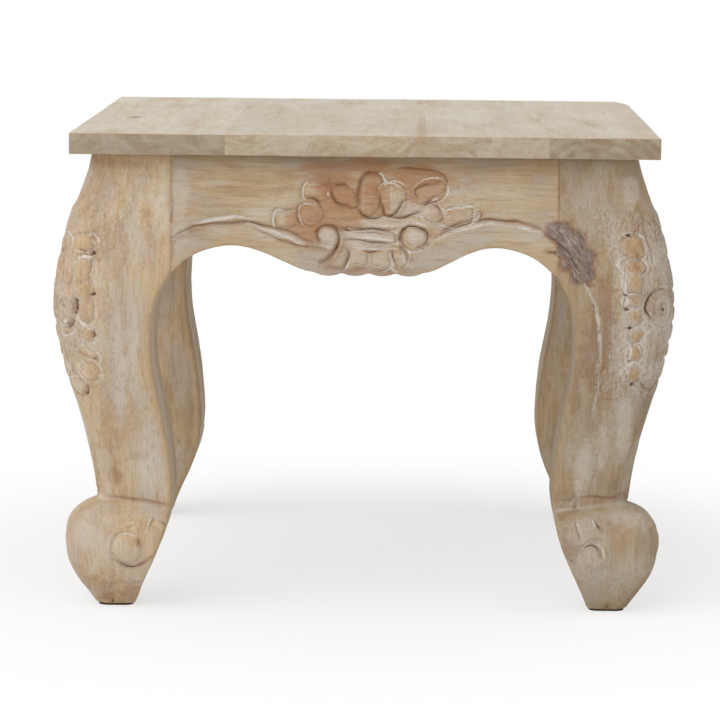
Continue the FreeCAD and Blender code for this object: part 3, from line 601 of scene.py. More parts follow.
def carve_lines(plan, *tables, mirror_past=None):
    """Depth of cut, lime left in it, dirt with painted shade in it, brown with painted shade beside it and
    chalk, for each point of a plan.
    """
    found = {name: np.zeros(len(plan)) for name in ("depth", "ribs", "limed", "crease", "brown", "chalk")}
    for kind, (width, cut, *run) in ((k, row) for table in tables for k in table for row in table[k]):
        curves = [smooth_line(np.reshape(run, (-1, 2)))]
        if mirror_past is not None and np.mean(run[0::2]) > mirror_past:
            curves.append(curves[0] * (-1, 1))
        for curve in curves:
            reach = 3.5 * width
            near = np.all((plan > curve.min(0) - reach) & (plan < curve.max(0) + reach), axis=1)
            place = np.flatnonzero(near)
            if not len(place):
                continue
            gap, end = nearest(plan[place], curve)
            taper = 0.35 + 0.65 * np.sin(np.pi * np.clip(end, 0.04, 0.96)) ** 0.5
            left = {"ribs" if kind == "rib" else "depth": cut * taper * np.exp(-((gap / width) ** 2))}
            for name, spread in LINE_TRACES.get(kind, {}).items():
                left[name] = np.exp(-((gap / (spread * width)) ** 2)) * taper
            if kind == "band":
                left["chalk"] = ease(1.3 - gap / width, 0, 0.5) * taper
                left["limed"] = 0.8 * ease(1.1 - gap / width, 0, 0.5) * taper
            for name, share in left.items():
                found[name][place] = np.maximum(found[name][place], share)
    depth, ribs, *traces = found.values()
    return depth - ribs, *traces


def sides_of(x, mirrored):
    """1, and also -1 for a shape that is repeated across the knee's middle."""
    return (1, -1) if mirrored and x > 1 else (1,)


def raise_lobes(plan, lobes, mirrored=False):
    """Height of the soft domes over a plan, and how far each point lies outside the nearest one's edge."""
    height = np.zeros(len(plan))
    outside = np.full(len(plan), FAR)
    for x, z, half_wide, half_high, tilt, rise in lobes:
        for side in sides_of(x, mirrored):
            turn = math.radians(side * tilt)
            dx, dz = plan[:, 0] - side * x, plan[:, 1] - z
            wide = (dx * math.cos(turn) + dz * math.sin(turn)) / half_wide
            high = (dz * math.cos(turn) - dx * math.sin(turn)) / half_high
            spread = wide**2 + high**2
            height = np.maximum(height, (0.8 + 0.2 * side) * rise * np.clip(1.1 - spread, 0, 1) ** 0.42)
            outside = np.minimum(outside, (np.sqrt(spread) - 1.04) * min(half_wide, half_high))
    return height, outside


def ring(distance, middle, width):
    """A soft ring at some distance."""
    return np.exp(-(((distance - middle) / width) ** 2))


def sink_holes(plan, holes):
    """Share of small drilled eyes, which are wider in the knee's middle."""
    depth = np.zeros(len(plan))
    for x, z in holes:
        for side in sides_of(x, True):
            gap = np.hypot(plan[:, 0] - side * x, plan[:, 1] - z)
            depth = np.maximum(depth, np.exp(-((gap / (2.4 if x == 0 else 1.7)) ** 2)))
    return depth


def bark_patch(plan):
    """Share of bark on the front right corner, and how cracked it is."""
    curve = smooth_line(BARK_SPINE)
    gap = np.full(len(plan), 9.0)
    near = np.flatnonzero((plan[:, 0] > 150) & (plan[:, 1] > 300))
    away = np.linalg.norm(plan[near][:, None] - curve[None, :, :2], axis=2) / curve[None, :, 2]
    gap[near] = away.min(1)
    share = 1 - ease(gap + 0.4 * ripple(plan, 11, 5) + 0.2 * ripple(plan, 5, 6), 0.55, 1.15)
    along = plan[:, 0] * math.cos(BARK_FALL) + plan[:, 1] * math.sin(BARK_FALL)
    across = plan[:, 1] * math.cos(BARK_FALL) - plan[:, 0] * math.sin(BARK_FALL)
    split = ripple(np.stack([along / 13, across / 2.4], axis=1), 1, 7)
    return share, share * ease(split + 0.3 * ripple(plan, 7, 8), 0.1, 0.55)


def bark_rise(plan):
    """Share of bark, and how far it stands out between its cracks."""
    bark, cracks = bark_patch(plan)
    return bark, bark * (0.7 + 0.5 * ripple(plan, 6, 9)) - 0.9 * cracks


def spots(plan, table, seed):
    """Soft ragged spots, from a table of their places."""
    total = np.zeros(len(plan))
    blur = 0.3 * ripple(plan, 16, seed) + 0.25 * ripple(plan * (0.25, 1.0), 3, seed + 1)
    for x, z, wide, high, share in table:
        away = np.hypot((plan[:, 0] - x) / wide, (plan[:, 1] - z) / high)
        total = np.maximum(total, share * (1 - ease(away + blur, 0.5, 1.2)))
    return total


# Shader sums
class Value:
    """A socket's value that takes part in Python sums."""

    def __init__(self, finish, socket):
        self.finish = finish
        self.socket = socket

    def sum(self, operation, first, second=0.0, clamp=False):
        return self.finish.add(
            "ShaderNodeMath", {"operation": operation, "use_clamp": clamp}, {0: first, 1: second}
        )

    def __add__(self, other):
        return self.sum("ADD", self, other)

    __radd__ = __add__

    def __sub__(self, other):
        return self.sum("SUBTRACT", self, other)

    def __rsub__(self, other):
        return self.sum("SUBTRACT", other, self)

    def __mul__(self, other):
        return self.sum("MULTIPLY", self, other)

    __rmul__ = __mul__

    def held(self):
        """The value kept between 0 and 1."""
        return self.sum("ADD", self, 0.0, clamp=True)

    def wave(self):
        """The sine of the value."""
        return self.sum("SINE", self)

    def past(self, low, high):
        """Rises smoothly from 0 at low to 1 at high."""
        return self.finish.add(
            "ShaderNodeMapRange",
            {"interpolation_type": "SMOOTHSTEP"},
            {"Value": self, "From Min": low, "From Max": high},
        )


class Nodes:
    """A tree of shader nodes."""

    def __init__(self, tree):
        self.tree = tree
        tree.nodes.clear()

    def add(self, kind, settings=None, sockets=None, out=0):
        """Adds a node: its settings first, then its sockets' values or links."""
        node = self.tree.nodes.new(kind)
        for key, value in (settings or {}).items():
            if key == "stops":
                ramp = node.color_ramp
                while len(ramp.elements) < len(value):
                    ramp.elements.new(0.5)
                for element, (at, colour) in zip(ramp.elements, value):
                    element.position = at
                    element.color = colour
            else:
                setattr(node, key, value)
        for key, value in (sockets or {}).items():
            if isinstance(value, Value):
                self.tree.links.new(value.socket, node.inputs[key])
            else:
                node.inputs[key].default_value = value
        return Value(self, node.outputs[out]) if len(node.outputs) else node

    def seen(self):
        """1 where the camera sees, directly, in a mirror or through glass."""
        kinds = ("Camera", "Glossy", "Transmission")
        direct, mirror, glass = (self.add("ShaderNodeLightPath", out=f"Is {kind} Ray") for kind in kinds)
        return (direct + mirror + glass).held()


class Finish(Nodes):
    """One procedural material, with its nodes."""

    def __init__(self, name):
        self.material = bpy.data.materials.new(name)
        self.material.use_nodes = True
        super().__init__(self.material.node_tree)
        place = self.add("ShaderNodeTexCoord", out="Object")
        sockets = {0: place, "Scale": float(MM)}
        self.place = self.add("ShaderNodeVectorMath", {"operation": "SCALE"}, sockets)

    def layer(self, name):
        """A number stored on the vertices."""
        return self.add("ShaderNodeAttribute", {"attribute_name": name}, out="Fac")

    def scaled(self, place, shares):
        """A place scaled along each axis."""
        return self.add("ShaderNodeVectorMath", {"operation": "MULTIPLY"}, {0: place, 1: shares})

    def stretched(self, shares, offset):
        """The place in millimetres, scaled along each axis and shifted."""
        scaled = self.scaled(self.place, shares)
        return self.add("ShaderNodeVectorMath", {"operation": "ADD"}, {0: scaled, 1: offset})

    def length(self, place):
        """How far a place lies from the origin."""
        return self.add("ShaderNodeVectorMath", {"operation": "LENGTH"}, {0: place}, out="Value")

    def cloud(self, place, scale, detail=3.0, rough=0.55, warp=0.0):
        """Soft noise about 0.5."""
        sockets = {"Vector": place, "Scale": scale, "Detail": detail}
        sockets.update({"Roughness": rough, "Distortion": warp})
        return self.add("ShaderNodeTexNoise", None, sockets)

    def blend(self, share, first, second):
        """One colour going over to another."""
        settings = {"data_type": "RGBA", "clamp_factor": True}
        return self.add("ShaderNodeMix", settings, {0: share, 6: first, 7: second}, out=2)

    def end(self, colour, rough, bumps, **constants):
        """Joins colour, roughness and bumps to the shader and the output."""
        normal = None
        for height, strength, distance in bumps:
            sockets = {"Strength": strength, "Distance": distance, "Height": height}
            if normal:
                sockets["Normal"] = normal
            normal = self.add("ShaderNodeBump", None, sockets)
        sockets = {"Base Color": colour, "Roughness": rough, "Normal": normal}
        shader = self.add("ShaderNodeBsdfPrincipled", None, {**sockets, **constants})
        self.add("ShaderNodeOutputMaterial", None, {"Surface": shader})
        return self.material


def darkened(colour, tone):
    return (*(tone * c for c in colour[:3]), 1.0)


class Wood(Finish):
    """Wood with streaks along one axis, which takes its colours one over the other."""

    def __init__(self, name, along, colours, seed, tone, short):
        super().__init__(name)
        self.along = along
        self.short = short
        self.offset = tuple(97.0 * seed * share for share in (1.0, 0.37, 0.71))
        shades = {key: (1 + tone) / 2 if key in ("lime_white", "chalk") else tone for key in colours}
        self.colours = {key: darkened(colour, shades[key]) for key, colour in colours.items()}
        self.fine = self.cloud(self.run(0.05), 0.17, 3.0, 0.6, 0.3)
        self.fibre = self.cloud(self.run(0.035), 0.8, 3.0, 0.65)
        self.blotch = self.cloud(self.run(0.5), 0.021, 4.0, 0.6)
        self.fleck = self.cloud(self.place, 0.35, 3.0, 0.6)
        self.rust = self.cloud(self.run(0.1), 0.11, 4.0, 0.6, 0.5).past(0.54, 0.72)

    def run(self, long_share):
        """The place, drawn out along the grain."""
        shares = tuple(long_share * self.short if axis == self.along else 1.0 for axis in "xyz")
        return self.stretched(shares, self.offset)

    def over(self, share, key):
        """Lays one of the colours over the finish so far."""
        self.colour = self.blend(share, self.colour, self.colours[key])

    def grain(self, hollow, lime, calm, wash):
        """Starts the colour with streaks and a cool veil of lime."""
        streak = self.cloud(self.run(0.1), 0.036, 4.0, 0.55, 0.5)
        broad = self.cloud(self.run(0.2), 0.024, 2.0, 0.5, 0.6)
        wide_sum = streak * 0.9 + self.fine * 0.6 + self.fibre * 0.6 + self.blotch * 0.8 + broad * 0.9 - 1.9
        level = wide_sum * calm + (0.5 + lime)
        if hollow:
            level = level + hollow * 0.25
        keys = ("dark_streak", "bare_wood", "honey_wood", "limed_pale", "limed_grey")
        stops = [(at, self.colours[key]) for at, key in zip((0.0, 0.3, 0.5, 0.7, 1.0), keys)]
        self.colour = self.add("ShaderNodeValToRGB", {"stops": stops}, {0: level.held()})
        veil = self.cloud(self.run(0.28), 0.03, 5.0, 0.62, 0.4).past(0.44, 0.62)
        self.over((veil * (0.3 + self.fibre * 0.5 + self.fine * 0.5) * wash).held(), "lilac_lime")

    def board(self, pith, end_tone, arc_share, marks):
        """Rings on a board's cut ends, marks on its face and wear along its front edge."""
        far = self.length(self.stretched((1.0, 0.0, 1.0), pith))
        arcs = ((far + self.fleck * 4.0 + self.blotch * 12.0) * 0.7).wave() * 0.5 + 0.5
        facing = self.add("ShaderNodeNewGeometry", out="Normal")
        tilt, upward = (self.add("ShaderNodeSeparateXYZ", None, {0: facing}, out=axis) for axis in "YZ")
        mottle = self.cloud(self.stretched((0.5, 1.0, 1.0), self.offset), 0.05, 4.0, 0.62, 1.6)
        shade = (mottle.past(0.34, 0.66) * 0.6 + arcs * arc_share + self.fleck * 0.7 - 0.2).held()
        ends = (darkened(self.colours[key], end_tone) for key in ("end_pale", "end_brown"))
        self.colour = self.blend((tilt * tilt).past(0.5, 0.9), self.colour, self.blend(shade, *ends))
        for x, y, wide, long, share, tint in marks:
            away = self.length(self.stretched((1 / wide, 1 / long, 0.0), (-x / wide, -y / long, 0.0)))
            rings = ((away + self.fine * 0.5 + self.blotch * 1.5) * 14.0).wave().past(0.2, 0.9)
            self.over((1.0 - away.past(0.6, 6.0)) * rings * 0.16, "bare_wood")
            spot = 1.0 - (away + self.fine * 0.8 + self.fibre * 0.5 - 0.65).past(0.2, 1.1)
            self.over(spot * share, tint)
        worn = (tilt * tilt * upward * upward).past(0.02, 0.15) * self.blotch.past(0.3, 0.5)
        self.over(worn * 0.45, "warm_stain")

    def carving(self):
        """Bare ridges, stains, bark, lime, and brown and dirt with painted shade in and beside the cuts, by
        the layers; gives back the lime and the bark.
        """
        fleck = self.fleck
        self.over((self.layer("ridge") * 0.55 * (0.4 + self.blotch)).held(), "honey_wood")
        stain = (self.layer("stain") * (0.1 + fleck * 0.35 + self.fine * 0.5 + self.fibre * 0.6)).held()
        self.over(stain, "warm_stain")
        # Brown beside the cuts and round the lobes: partly the wood's own brown, partly painted shade
        self.over((self.layer("brown") * (0.35 + fleck * 0.8)).held() * 0.8, "halo_brown")
        self.over((self.layer("chalk") * (0.3 + self.fibre * 0.5 + fleck * 0.5)).held(), "chalk")
        bark = self.layer("bark")
        self.over((bark * (1.0 - bark) * 3.0 * (0.4 + fleck)).held(), "halo_brown")
        sockets = {"Vector": self.place, "Angle": BARK_FALL}
        turned = self.add("ShaderNodeVectorRotate", {"rotation_type": "Y_AXIS"}, sockets)
        flake = self.cloud(self.scaled(turned, (0.14, 1.0, 1.0)), 0.3, 4.0, 0.62, 0.4)
        tone = self.blend(flake.past(0.46, 0.72), self.colours["bark_grey"], self.colours["bark_pale"])
        crack = (1.0 - flake.past(0.33, 0.45)) * (0.4 + self.blotch)
        tone = self.blend(crack, tone, self.colours["bark_dark"])
        tone = self.blend(self.rust * 0.5, tone, self.colours["rust_wood"])
        self.colour = self.blend((bark * (0.3 + fleck * 1.4)).past(0.3, 0.9) * 0.92, self.colour, tone)
        worked = self.layer("worked")
        grit = self.cloud(self.run(0.45 / self.short), 0.6, 4.0, 0.7)
        lime = (self.layer("limed") * (grit * 1.3 + fleck * 0.6 + self.fine * 0.3 - 0.3)).past(0.22, 0.6)
        self.over(lime * 0.88, "lime_white")
        self.over(grit.past(0.5, 0.64) * worked * (1.0 - stain) * 0.62, "chalk")
        self.over((1.0 - grit).past(0.53, 0.66) * worked * 0.58, "halo_brown")
        thread = self.cloud(self.run(0.07), 0.42, 3.0, 0.65)
        self.over(thread.past(0.5, 0.72) * 0.35, "thread_brown")
        self.over((1.0 - thread).past(0.52, 0.74) * 0.3, "limed_grey")
        # Dark dirt and painted shade in the deep cuts and drilled eyes
        self.over((self.layer("crease") * (0.5 + fleck * 1.0)).past(0.25, 0.8) * 0.95, "crease_brown")
        return lime, bark


def limed_wood(
    name, along, colours, seed, carved=False, tone=1.0, lime=0.0, wash=0.6, calm=1.0, short=1.0, board=None
):
    """Wood rubbed with lime: streaks along one axis, then a board's or a carved piece's own marks."""
    f = Wood(name, along, colours, seed, tone, short)
    pore = f.cloud(f.run(0.1), 1.3, 2.0, 0.6).past(0.6, 0.72)
    f.grain(f.layer("hollow") if carved else None, lime, calm, wash)
    height = f.fine * 0.5 + f.fibre * 0.6 - pore * 0.3
    rough = 0.72 - f.fine * 0.12
    if board:
        f.board(*board)
    f.over(pore * 0.35, "pore_brown")
    f.over(f.cloud(f.run(0.5), 0.16, 2.0, 0.5).past(0.7, 0.76) * 0.5, "warm_stain")
    f.over(f.rust * (0.3 * calm), "rust_wood")
    if carved:
        filled, bark = f.carving()
        rough = rough + filled * 0.1
        height = height + bark * f.fleck * 1.5
    bumps = [(height, 0.42, 0.0007), (f.fleck, 0.2, 0.0012)]
    return f.end(f.colour, rough.held(), bumps, **{"Specular IOR Level": 0.3})


# Sizes and colours that a user would change
def colour_property(name, description, red, green, blue):
    """A colour given in the 0 to 255 numbers of a screen."""
    shares = (c / 255 for c in (red, green, blue))
    linear = [c / 12.92 if c < 0.04045 else ((c + 0.055) / 1.055) ** 2.4 for c in shares]
    return bpy.props.FloatVectorProperty(
        name=name, description=description, subtype="COLOR", size=4, min=0, max=1, default=(*linear, 1)
    )


def number_property(name, description, default, **kind):
    """A number with its name and description."""
    return bpy.props.FloatProperty(name=name, description=description, default=default, **kind)


class TableSizes(bpy.types.PropertyGroup):
    """Sizes of the carving and of the mesh that carries it"""

    apron_mesh: number_property("Apron mesh", "Mesh size of an apron", 0.00175, unit="LENGTH")
    leg_mesh: number_property("Leg mesh", "Mesh size of a leg", 0.00225, unit="LENGTH")
    carving_share: number_property(
        "Carving depth", "Depth of the carving against its drawing", 1.25, subtype="FACTOR"
    )
    edge_round: number_property("Board edge", "Rounding of the boards' edges", 0.0012, unit="LENGTH")
    tool_marks: number_property("Tool marks", "Height of the uneven hand finish", 0.00025, unit="LENGTH")


class TableColours(bpy.types.PropertyGroup):
    """Colours of the limed wood and of the small pieces"""

    limed_pale: colour_property("Limed pale", "Wood under a thin coat of lime", 204, 187, 160)
    limed_grey: colour_property("Limed grey", "Wood under a full coat of lime", 208, 197, 182)
    top_pale: colour_property("Top pale", "Paler lime on the boards of the top", 212, 203, 187)
    top_honey: colour_property("Top honey", "Barer wood on the boards of the top", 203, 189, 166)
    honey_wood: colour_property("Honey wood", "Wood where the lime is thin", 196, 168, 130)
    bare_wood: colour_property("Bare wood", "Wood where the lime has worn off", 172, 145, 110)
    dark_streak: colour_property("Dark streak", "Dark streaks of the grain", 142, 117, 88)
    lilac_lime: colour_property("Lilac lime", "Cool lime rubbed thin over the wood", 186, 175, 166)
    warm_stain: colour_property("Warm stain", "Orange stain in the wood", 180, 126, 84)
    amber_wood: colour_property("Amber wood", "Bare raised lobes of the knees", 212, 170, 116)
    # Brown wood beside deep cuts, also used as painted shade there
    halo_brown: colour_property("Brown edges", "Brown wood beside deep cuts", 152, 104, 66)
    rust_wood: colour_property("Rust streaks", "Faint reddish streaks of the grain", 176, 134, 98)
    thread_brown: colour_property("Threads", "Fine brown threads of the grain", 152, 120, 88)
    chalk: colour_property("Chalk", "Chalky lime rubbed into the carving", 207, 196, 182)
    end_pale: colour_property("Pale end grain", "Limed ends of the boards", 198, 184, 161)
    end_brown: colour_property("Brown end grain", "Bare ends of the boards", 164, 143, 115)
    pore_brown: colour_property("Pores", "Dark open pores", 124, 100, 76)
    lime_white: colour_property("Lime", "Lime left in cut lines", 222, 214, 202)
    # Dirt in deep cuts, also used as painted shade in them
    crease_brown: colour_property("Creases", "Dirt in deep cuts", 108, 76, 54)
    bark_grey: colour_property("Bark", "Grey patch of bark", 136, 115, 108)
    bark_pale: colour_property("Pale bark", "Limed flecks of bark", 190, 176, 169)
    bark_dark: colour_property("Dark bark", "Dark cracks of bark", 84, 60, 52)
    inner_wood: colour_property("Inner wood", "Raw wood of the blocks", 186, 156, 116)
    felt: colour_property("Felt", "Dark felt of the foot pads", 58, 48, 42)
    steel: colour_property("Steel", "Zinc plated screws", 176, 174, 168)


class TableLight(bpy.types.PropertyGroup):
    """Light of the stage"""

    sky: number_property("Sky", "Even light from all round", 0.5)
    key_strength: number_property("Key", "Wide soft lamp from the upper left", 1.5)
    fill_strength: number_property("Fill", "Wider lamp from the upper front", 0.5)


def sizes():
    return bpy.context.scene.coffee_table_sizes


def palette(**swaps):
    """The table's colours by name, as plain numbers."""
    group = bpy.context.scene.coffee_table_colours
    found = {name: tuple(getattr(group, name)) for name in TableColours.__annotations__}
    found.update({key: found[other] for key, other in swaps.items()})
    return found


def dress(obj, node, material):
    """Lets a finished piece stand for its node, with its finish."""
    obj.data.materials.clear()
    obj.data.materials.append(material)
    only(obj)
    bpy.ops.object.shade_smooth()
    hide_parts(node)
    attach(obj, "root")


def finish_node(node, material):
    """Gives a node that stays as it is a better finish."""
    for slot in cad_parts[node].material_slots:
        slot.material = material


def wear_layers(obj):
    """Stores where the carving is hollow and where it stands proud."""
    out = bulge(obj, 6)
    wide = bulge(obj, 24)
    hollow = np.clip(-out * 2.2 - 0.05, 0, 1) + np.clip(-wide * 0.3 - 0.05, 0, 0.4)
    ridge = np.clip(out * 2.2 - 0.05, 0, 1) + np.clip(wide * 0.3 - 0.05, 0, 0.5)
    keep_layers(obj, hollow=hollow, ridge=ridge)


def hand_finish(points, fine, wide, seeds):
    """Uneven heights in millimetres that tools leave, over a fine and a wide length."""
    heights = ripple(points, fine, seeds[0]) + ripple(points, wide, seeds[1])
    return sizes().tool_marks * MM * heights


class TABLE_OT_boards(bpy.types.Operator):
    """Make the four boards of the top"""

    bl_idname = "coffee_table.boards"
    bl_label = "Top Boards"

    def execute(self, context):
        for number, (pith_x, pith_z, end_tone, tone, arc_share, marks) in enumerate(BOARDS, 1):
            node = f"top_board_{number}"
            name = f"limed_board_{number}"
            low, high = (Vector(corner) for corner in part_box(node))
            pith = (-MM / 2 * (low.x + high.x) + pith_x, 0.0, pith_z - BOARD_MIDDLE)
            obj = self.board(name, low, high, number)
            colours = palette(limed_pale="top_pale", honey_wood="top_honey", limed_grey="top_pale")
            looks = {"tone": tone, "lime": 0.1, "wash": 0.3, "calm": 0.55}
            rings = (pith, end_tone, arc_share, marks)
            material = limed_wood(name, "y", colours, number + 2, **looks, board=rings)
            dress(obj, node, material)
            bpy.ops.object.shade_smooth_by_angle(angle=math.radians(35))
        return {"FINISHED"}

    def board(self, name, low, high, seed):
        """A board with cuts across it, that laps its neighbours and is worn at the back right corner."""
        bpy.ops.object.select_all(action="DESELECT")
        lap = sizes().edge_round
        low.x -= lap if low.x * MM > 1 - HALF_TOP else 0
        high.x += lap if high.x * MM < HALF_TOP - 1 else 0
        bpy.ops.mesh.primitive_cube_add(size=1, location=(low + high) / 2, scale=high - low)
        obj = bpy.context.object
        obj.name = obj.data.name = name
        bpy.ops.object.transform_apply(location=True, rotation=True, scale=True)
        shape_by(obj, "BEVEL", width=lap, segments=3, limit_method="ANGLE")
        only(obj)
        for axis in (0, 1):
            normal = [float(k == axis) for k in range(3)]
            for place in np.arange(low[axis] + BOARD_STEP, high[axis] - BOARD_STEP / 2, BOARD_STEP):
                bpy.ops.object.mode_set(mode="EDIT")
                bpy.ops.mesh.select_all(action="SELECT")
                bpy.ops.mesh.bisect(plane_co=[float(place) * share for share in normal], plane_no=normal)
                bpy.ops.object.mode_set(mode="OBJECT")
        points = points_of(obj)
        waves = ripple(points, 70, seed) + 0.5 * ripple(points, 22, seed + 9)
        wear = sizes().tool_marks * MM * waves - 0.15
        inward = normals_of(obj) * np.minimum(wear, 0)[:, None]
        inward[:, 0] *= ease(np.abs(points[:, 0]), HALF_TOP - 3, HALF_TOP) > 0.5
        points += inward
        if high.x * MM > HALF_TOP - 1:
            worn = ease(points[:, 1], HALF_TOP - 70, HALF_TOP) ** 2
            points[:, 0] -= 9 * ease(points[:, 0], HALF_TOP - 40, HALF_TOP) * worn
        move_points(obj, points)
        return obj


class TABLE_OT_aprons(bpy.types.Operator):
    """Carve the four aprons"""

    bl_idname = "coffee_table.aprons"
    bl_label = "Aprons"

    def execute(self, context):
        looks = {"tone": 0.79, "lime": 0.06, "calm": 0.75, "wash": 0.7, "short": 1.6}
        for turn, side in enumerate(APRON_SIDES):
            node = f"apron_{side}"
            name = f"carved_apron_{side}"
            obj = copy_of(node, name)
            tables = (CARTOUCHE_LINES, BARK_LINES) if turn == 0 else (CARTOUCHE_LINES,)
            face = self.prepare(obj, node, turn, tables)
            self.carve(obj, face, turn, tables)
            material = limed_wood(name, "xyxy"[turn], palette(), 11 + turn, True, **looks)
            dress(obj, node, material)
        return {"FINISHED"}

    def to_front(self, points, turn):
        """Places in the plan of the front apron: along, inset and height."""
        x, y, z = points.T
        for _ in range(turn):
            x, y = y, -x
        return np.stack([x, y + HALF_TOP, z], axis=1)

    def from_front(self, local, turn):
        """Places in the plan of the front apron turned back to the apron's own side."""
        x, y, z = local[:, 0], local[:, 1] - HALF_TOP, local[:, 2]
        for _ in range(turn):
            x, y = -y, x
        return np.stack([x, y, z], axis=1)

    def prepare(self, obj, node, turn, tables):
        """Takes the relief off the face and makes the mesh finer there; gives back the plain face."""
        shape_by(obj, "REMESH", mode="VOXEL", voxel_size=sizes().apron_mesh)
        face = self.face_profile(self.to_front(points_of(obj), turn))
        local, level, front = self.front_of(obj, face, turn, RELIEF)
        local[front, 1] = level[front]
        move_points(obj, self.from_front(local, turn))
        shape_by(obj, "REMESH", mode="VOXEL", voxel_size=sizes().apron_mesh)
        shape_by(obj, "SMOOTH", factor=0.5, iterations=3)
        local, level, near = self.front_of(obj, face, turn, 2.2)
        settle(obj, node, near)
        for first, least in ((True, 0.02), (False, FINE_CUT)):
            plan = local[:, [0, 2]]
            carved = np.abs(carve_lines(self.drawing(plan, turn), *tables)[0]) > least
            if first:
                carved |= (np.abs(plan[:, 0] - 10) < 98) & (plan[:, 1] < 426)
                carved |= (bark_patch(plan)[0] > 0.05) & (turn == 0)
            subdivide_where(obj, near & carved)
            local, level, near = self.front_of(obj, face, turn, 2.2)
        local[near, 1] = level[near]
        move_points(obj, self.from_front(local, turn))
        soften(obj, ease(178 - np.abs(local[:, 0]), 0, 2), 2)
        return face

    def drawing(self, plan, turn):
        """The plan, as the lines of this apron were cut."""
        return waver(plan, 201 + turn, 0.7)

    def carve(self, obj, face, turn, tables):
        """Moves the face by the drawing and stores the layers of the finish."""
        local, _, near = self.front_of(obj, face, turn, 1.6)
        outward = self.to_front(normals_of(obj), turn)[:, 1] - HALF_TOP
        facing = ease(-outward, 0.35, 0.75) * near
        plan = local[:, [0, 2]]
        drawn = self.drawing(plan, turn)
        depth, limed, crease, brown, chalk = carve_lines(drawn, *tables)
        lobes, outside = raise_lobes(drawn, CARTOUCHE_LOBES)
        # Brown with painted shade round the foot of the raised lobes
        brown = np.maximum(brown, 0.5 * ring(outside, 0.3, 1.0))
        limed = np.maximum(limed, 0.9 * ring(outside, 1.7, 0.9) * ease(plan[:, 0], 8, 22))
        bark, bark_height = bark_rise(plan) if turn == 0 else np.zeros((2, len(plan)))
        field = ease(1.25 - np.hypot((plan[:, 0] - 12) / 96, (plan[:, 1] - 386) / 34), 0.0, 0.35)
        marks = hand_finish(plan, 9, 26, (31 + turn, 47 + turn))
        rise = (field + 0.65 * lobes - depth) * sizes().carving_share + marks + bark_height
        local[:, 1] -= rise * facing
        local[:, 0] += JOINT_LAP * np.sign(local[:, 0]) * ease(np.abs(local[:, 0]), *APRON_END)
        move_points(obj, self.from_front(local, turn))
        patchy = 0.65 + 0.5 * ripple(plan, 14, 71 + turn)
        rubbed = chalk * (0.8 + 0.3 * ripple(plan, 9, 101 + turn))
        chalk = np.maximum(rubbed, spots(plan, CARTOUCHE_CHALK, 93 + turn))
        worked = np.maximum(0.5 * field, np.maximum(0.6 * chalk, limed))
        layers = {
            "limed": limed * np.clip(patchy, 0.1, 1.2),
            "crease": crease * np.clip(1.5 - patchy, 0.35, 1),
            "brown": brown,
            "bark": bark,
            "stain": spots(plan, CARTOUCHE_STAINS, 83 + turn),
            "chalk": chalk,
            "worked": np.clip(worked, 0, 1),
        }
        keep_layers(obj, **{name: values * facing for name, values in layers.items()})
        wear_layers(obj)

    def front_of(self, obj, face, turn, depth):
        """Places in the plan of the front apron, the plain face there, and which lie close to it."""
        local = self.to_front(points_of(obj), turn)
        level = np.interp(local[:, 2], *face)
        return local, level, (local[:, 1] < level + depth) & (np.abs(local[:, 0]) < APRON_HALF)

    def face_profile(self, local):
        """The plain face's inset at each height, read beside the carving."""
        plain = (np.abs(local[:, 0]) > 120) & (np.abs(local[:, 0]) < 176)
        heights = np.arange(local[:, 2].min(), local[:, 2].max() + 2, 2.0)
        bins = np.digitize(local[:, 2], heights)
        insets = np.full(len(heights), np.nan)
        for number in range(1, len(heights) + 1):
            chosen = plain & (bins == number)
            if chosen.sum() > 20:
                insets[number - 1] = np.percentile(local[chosen, 1], 1.5)
        good = ~np.isnan(insets)
        middles = heights[good] + 1
        fit = np.poly1d(np.polyfit(middles, insets[good], 5))
        return middles, fit(middles)


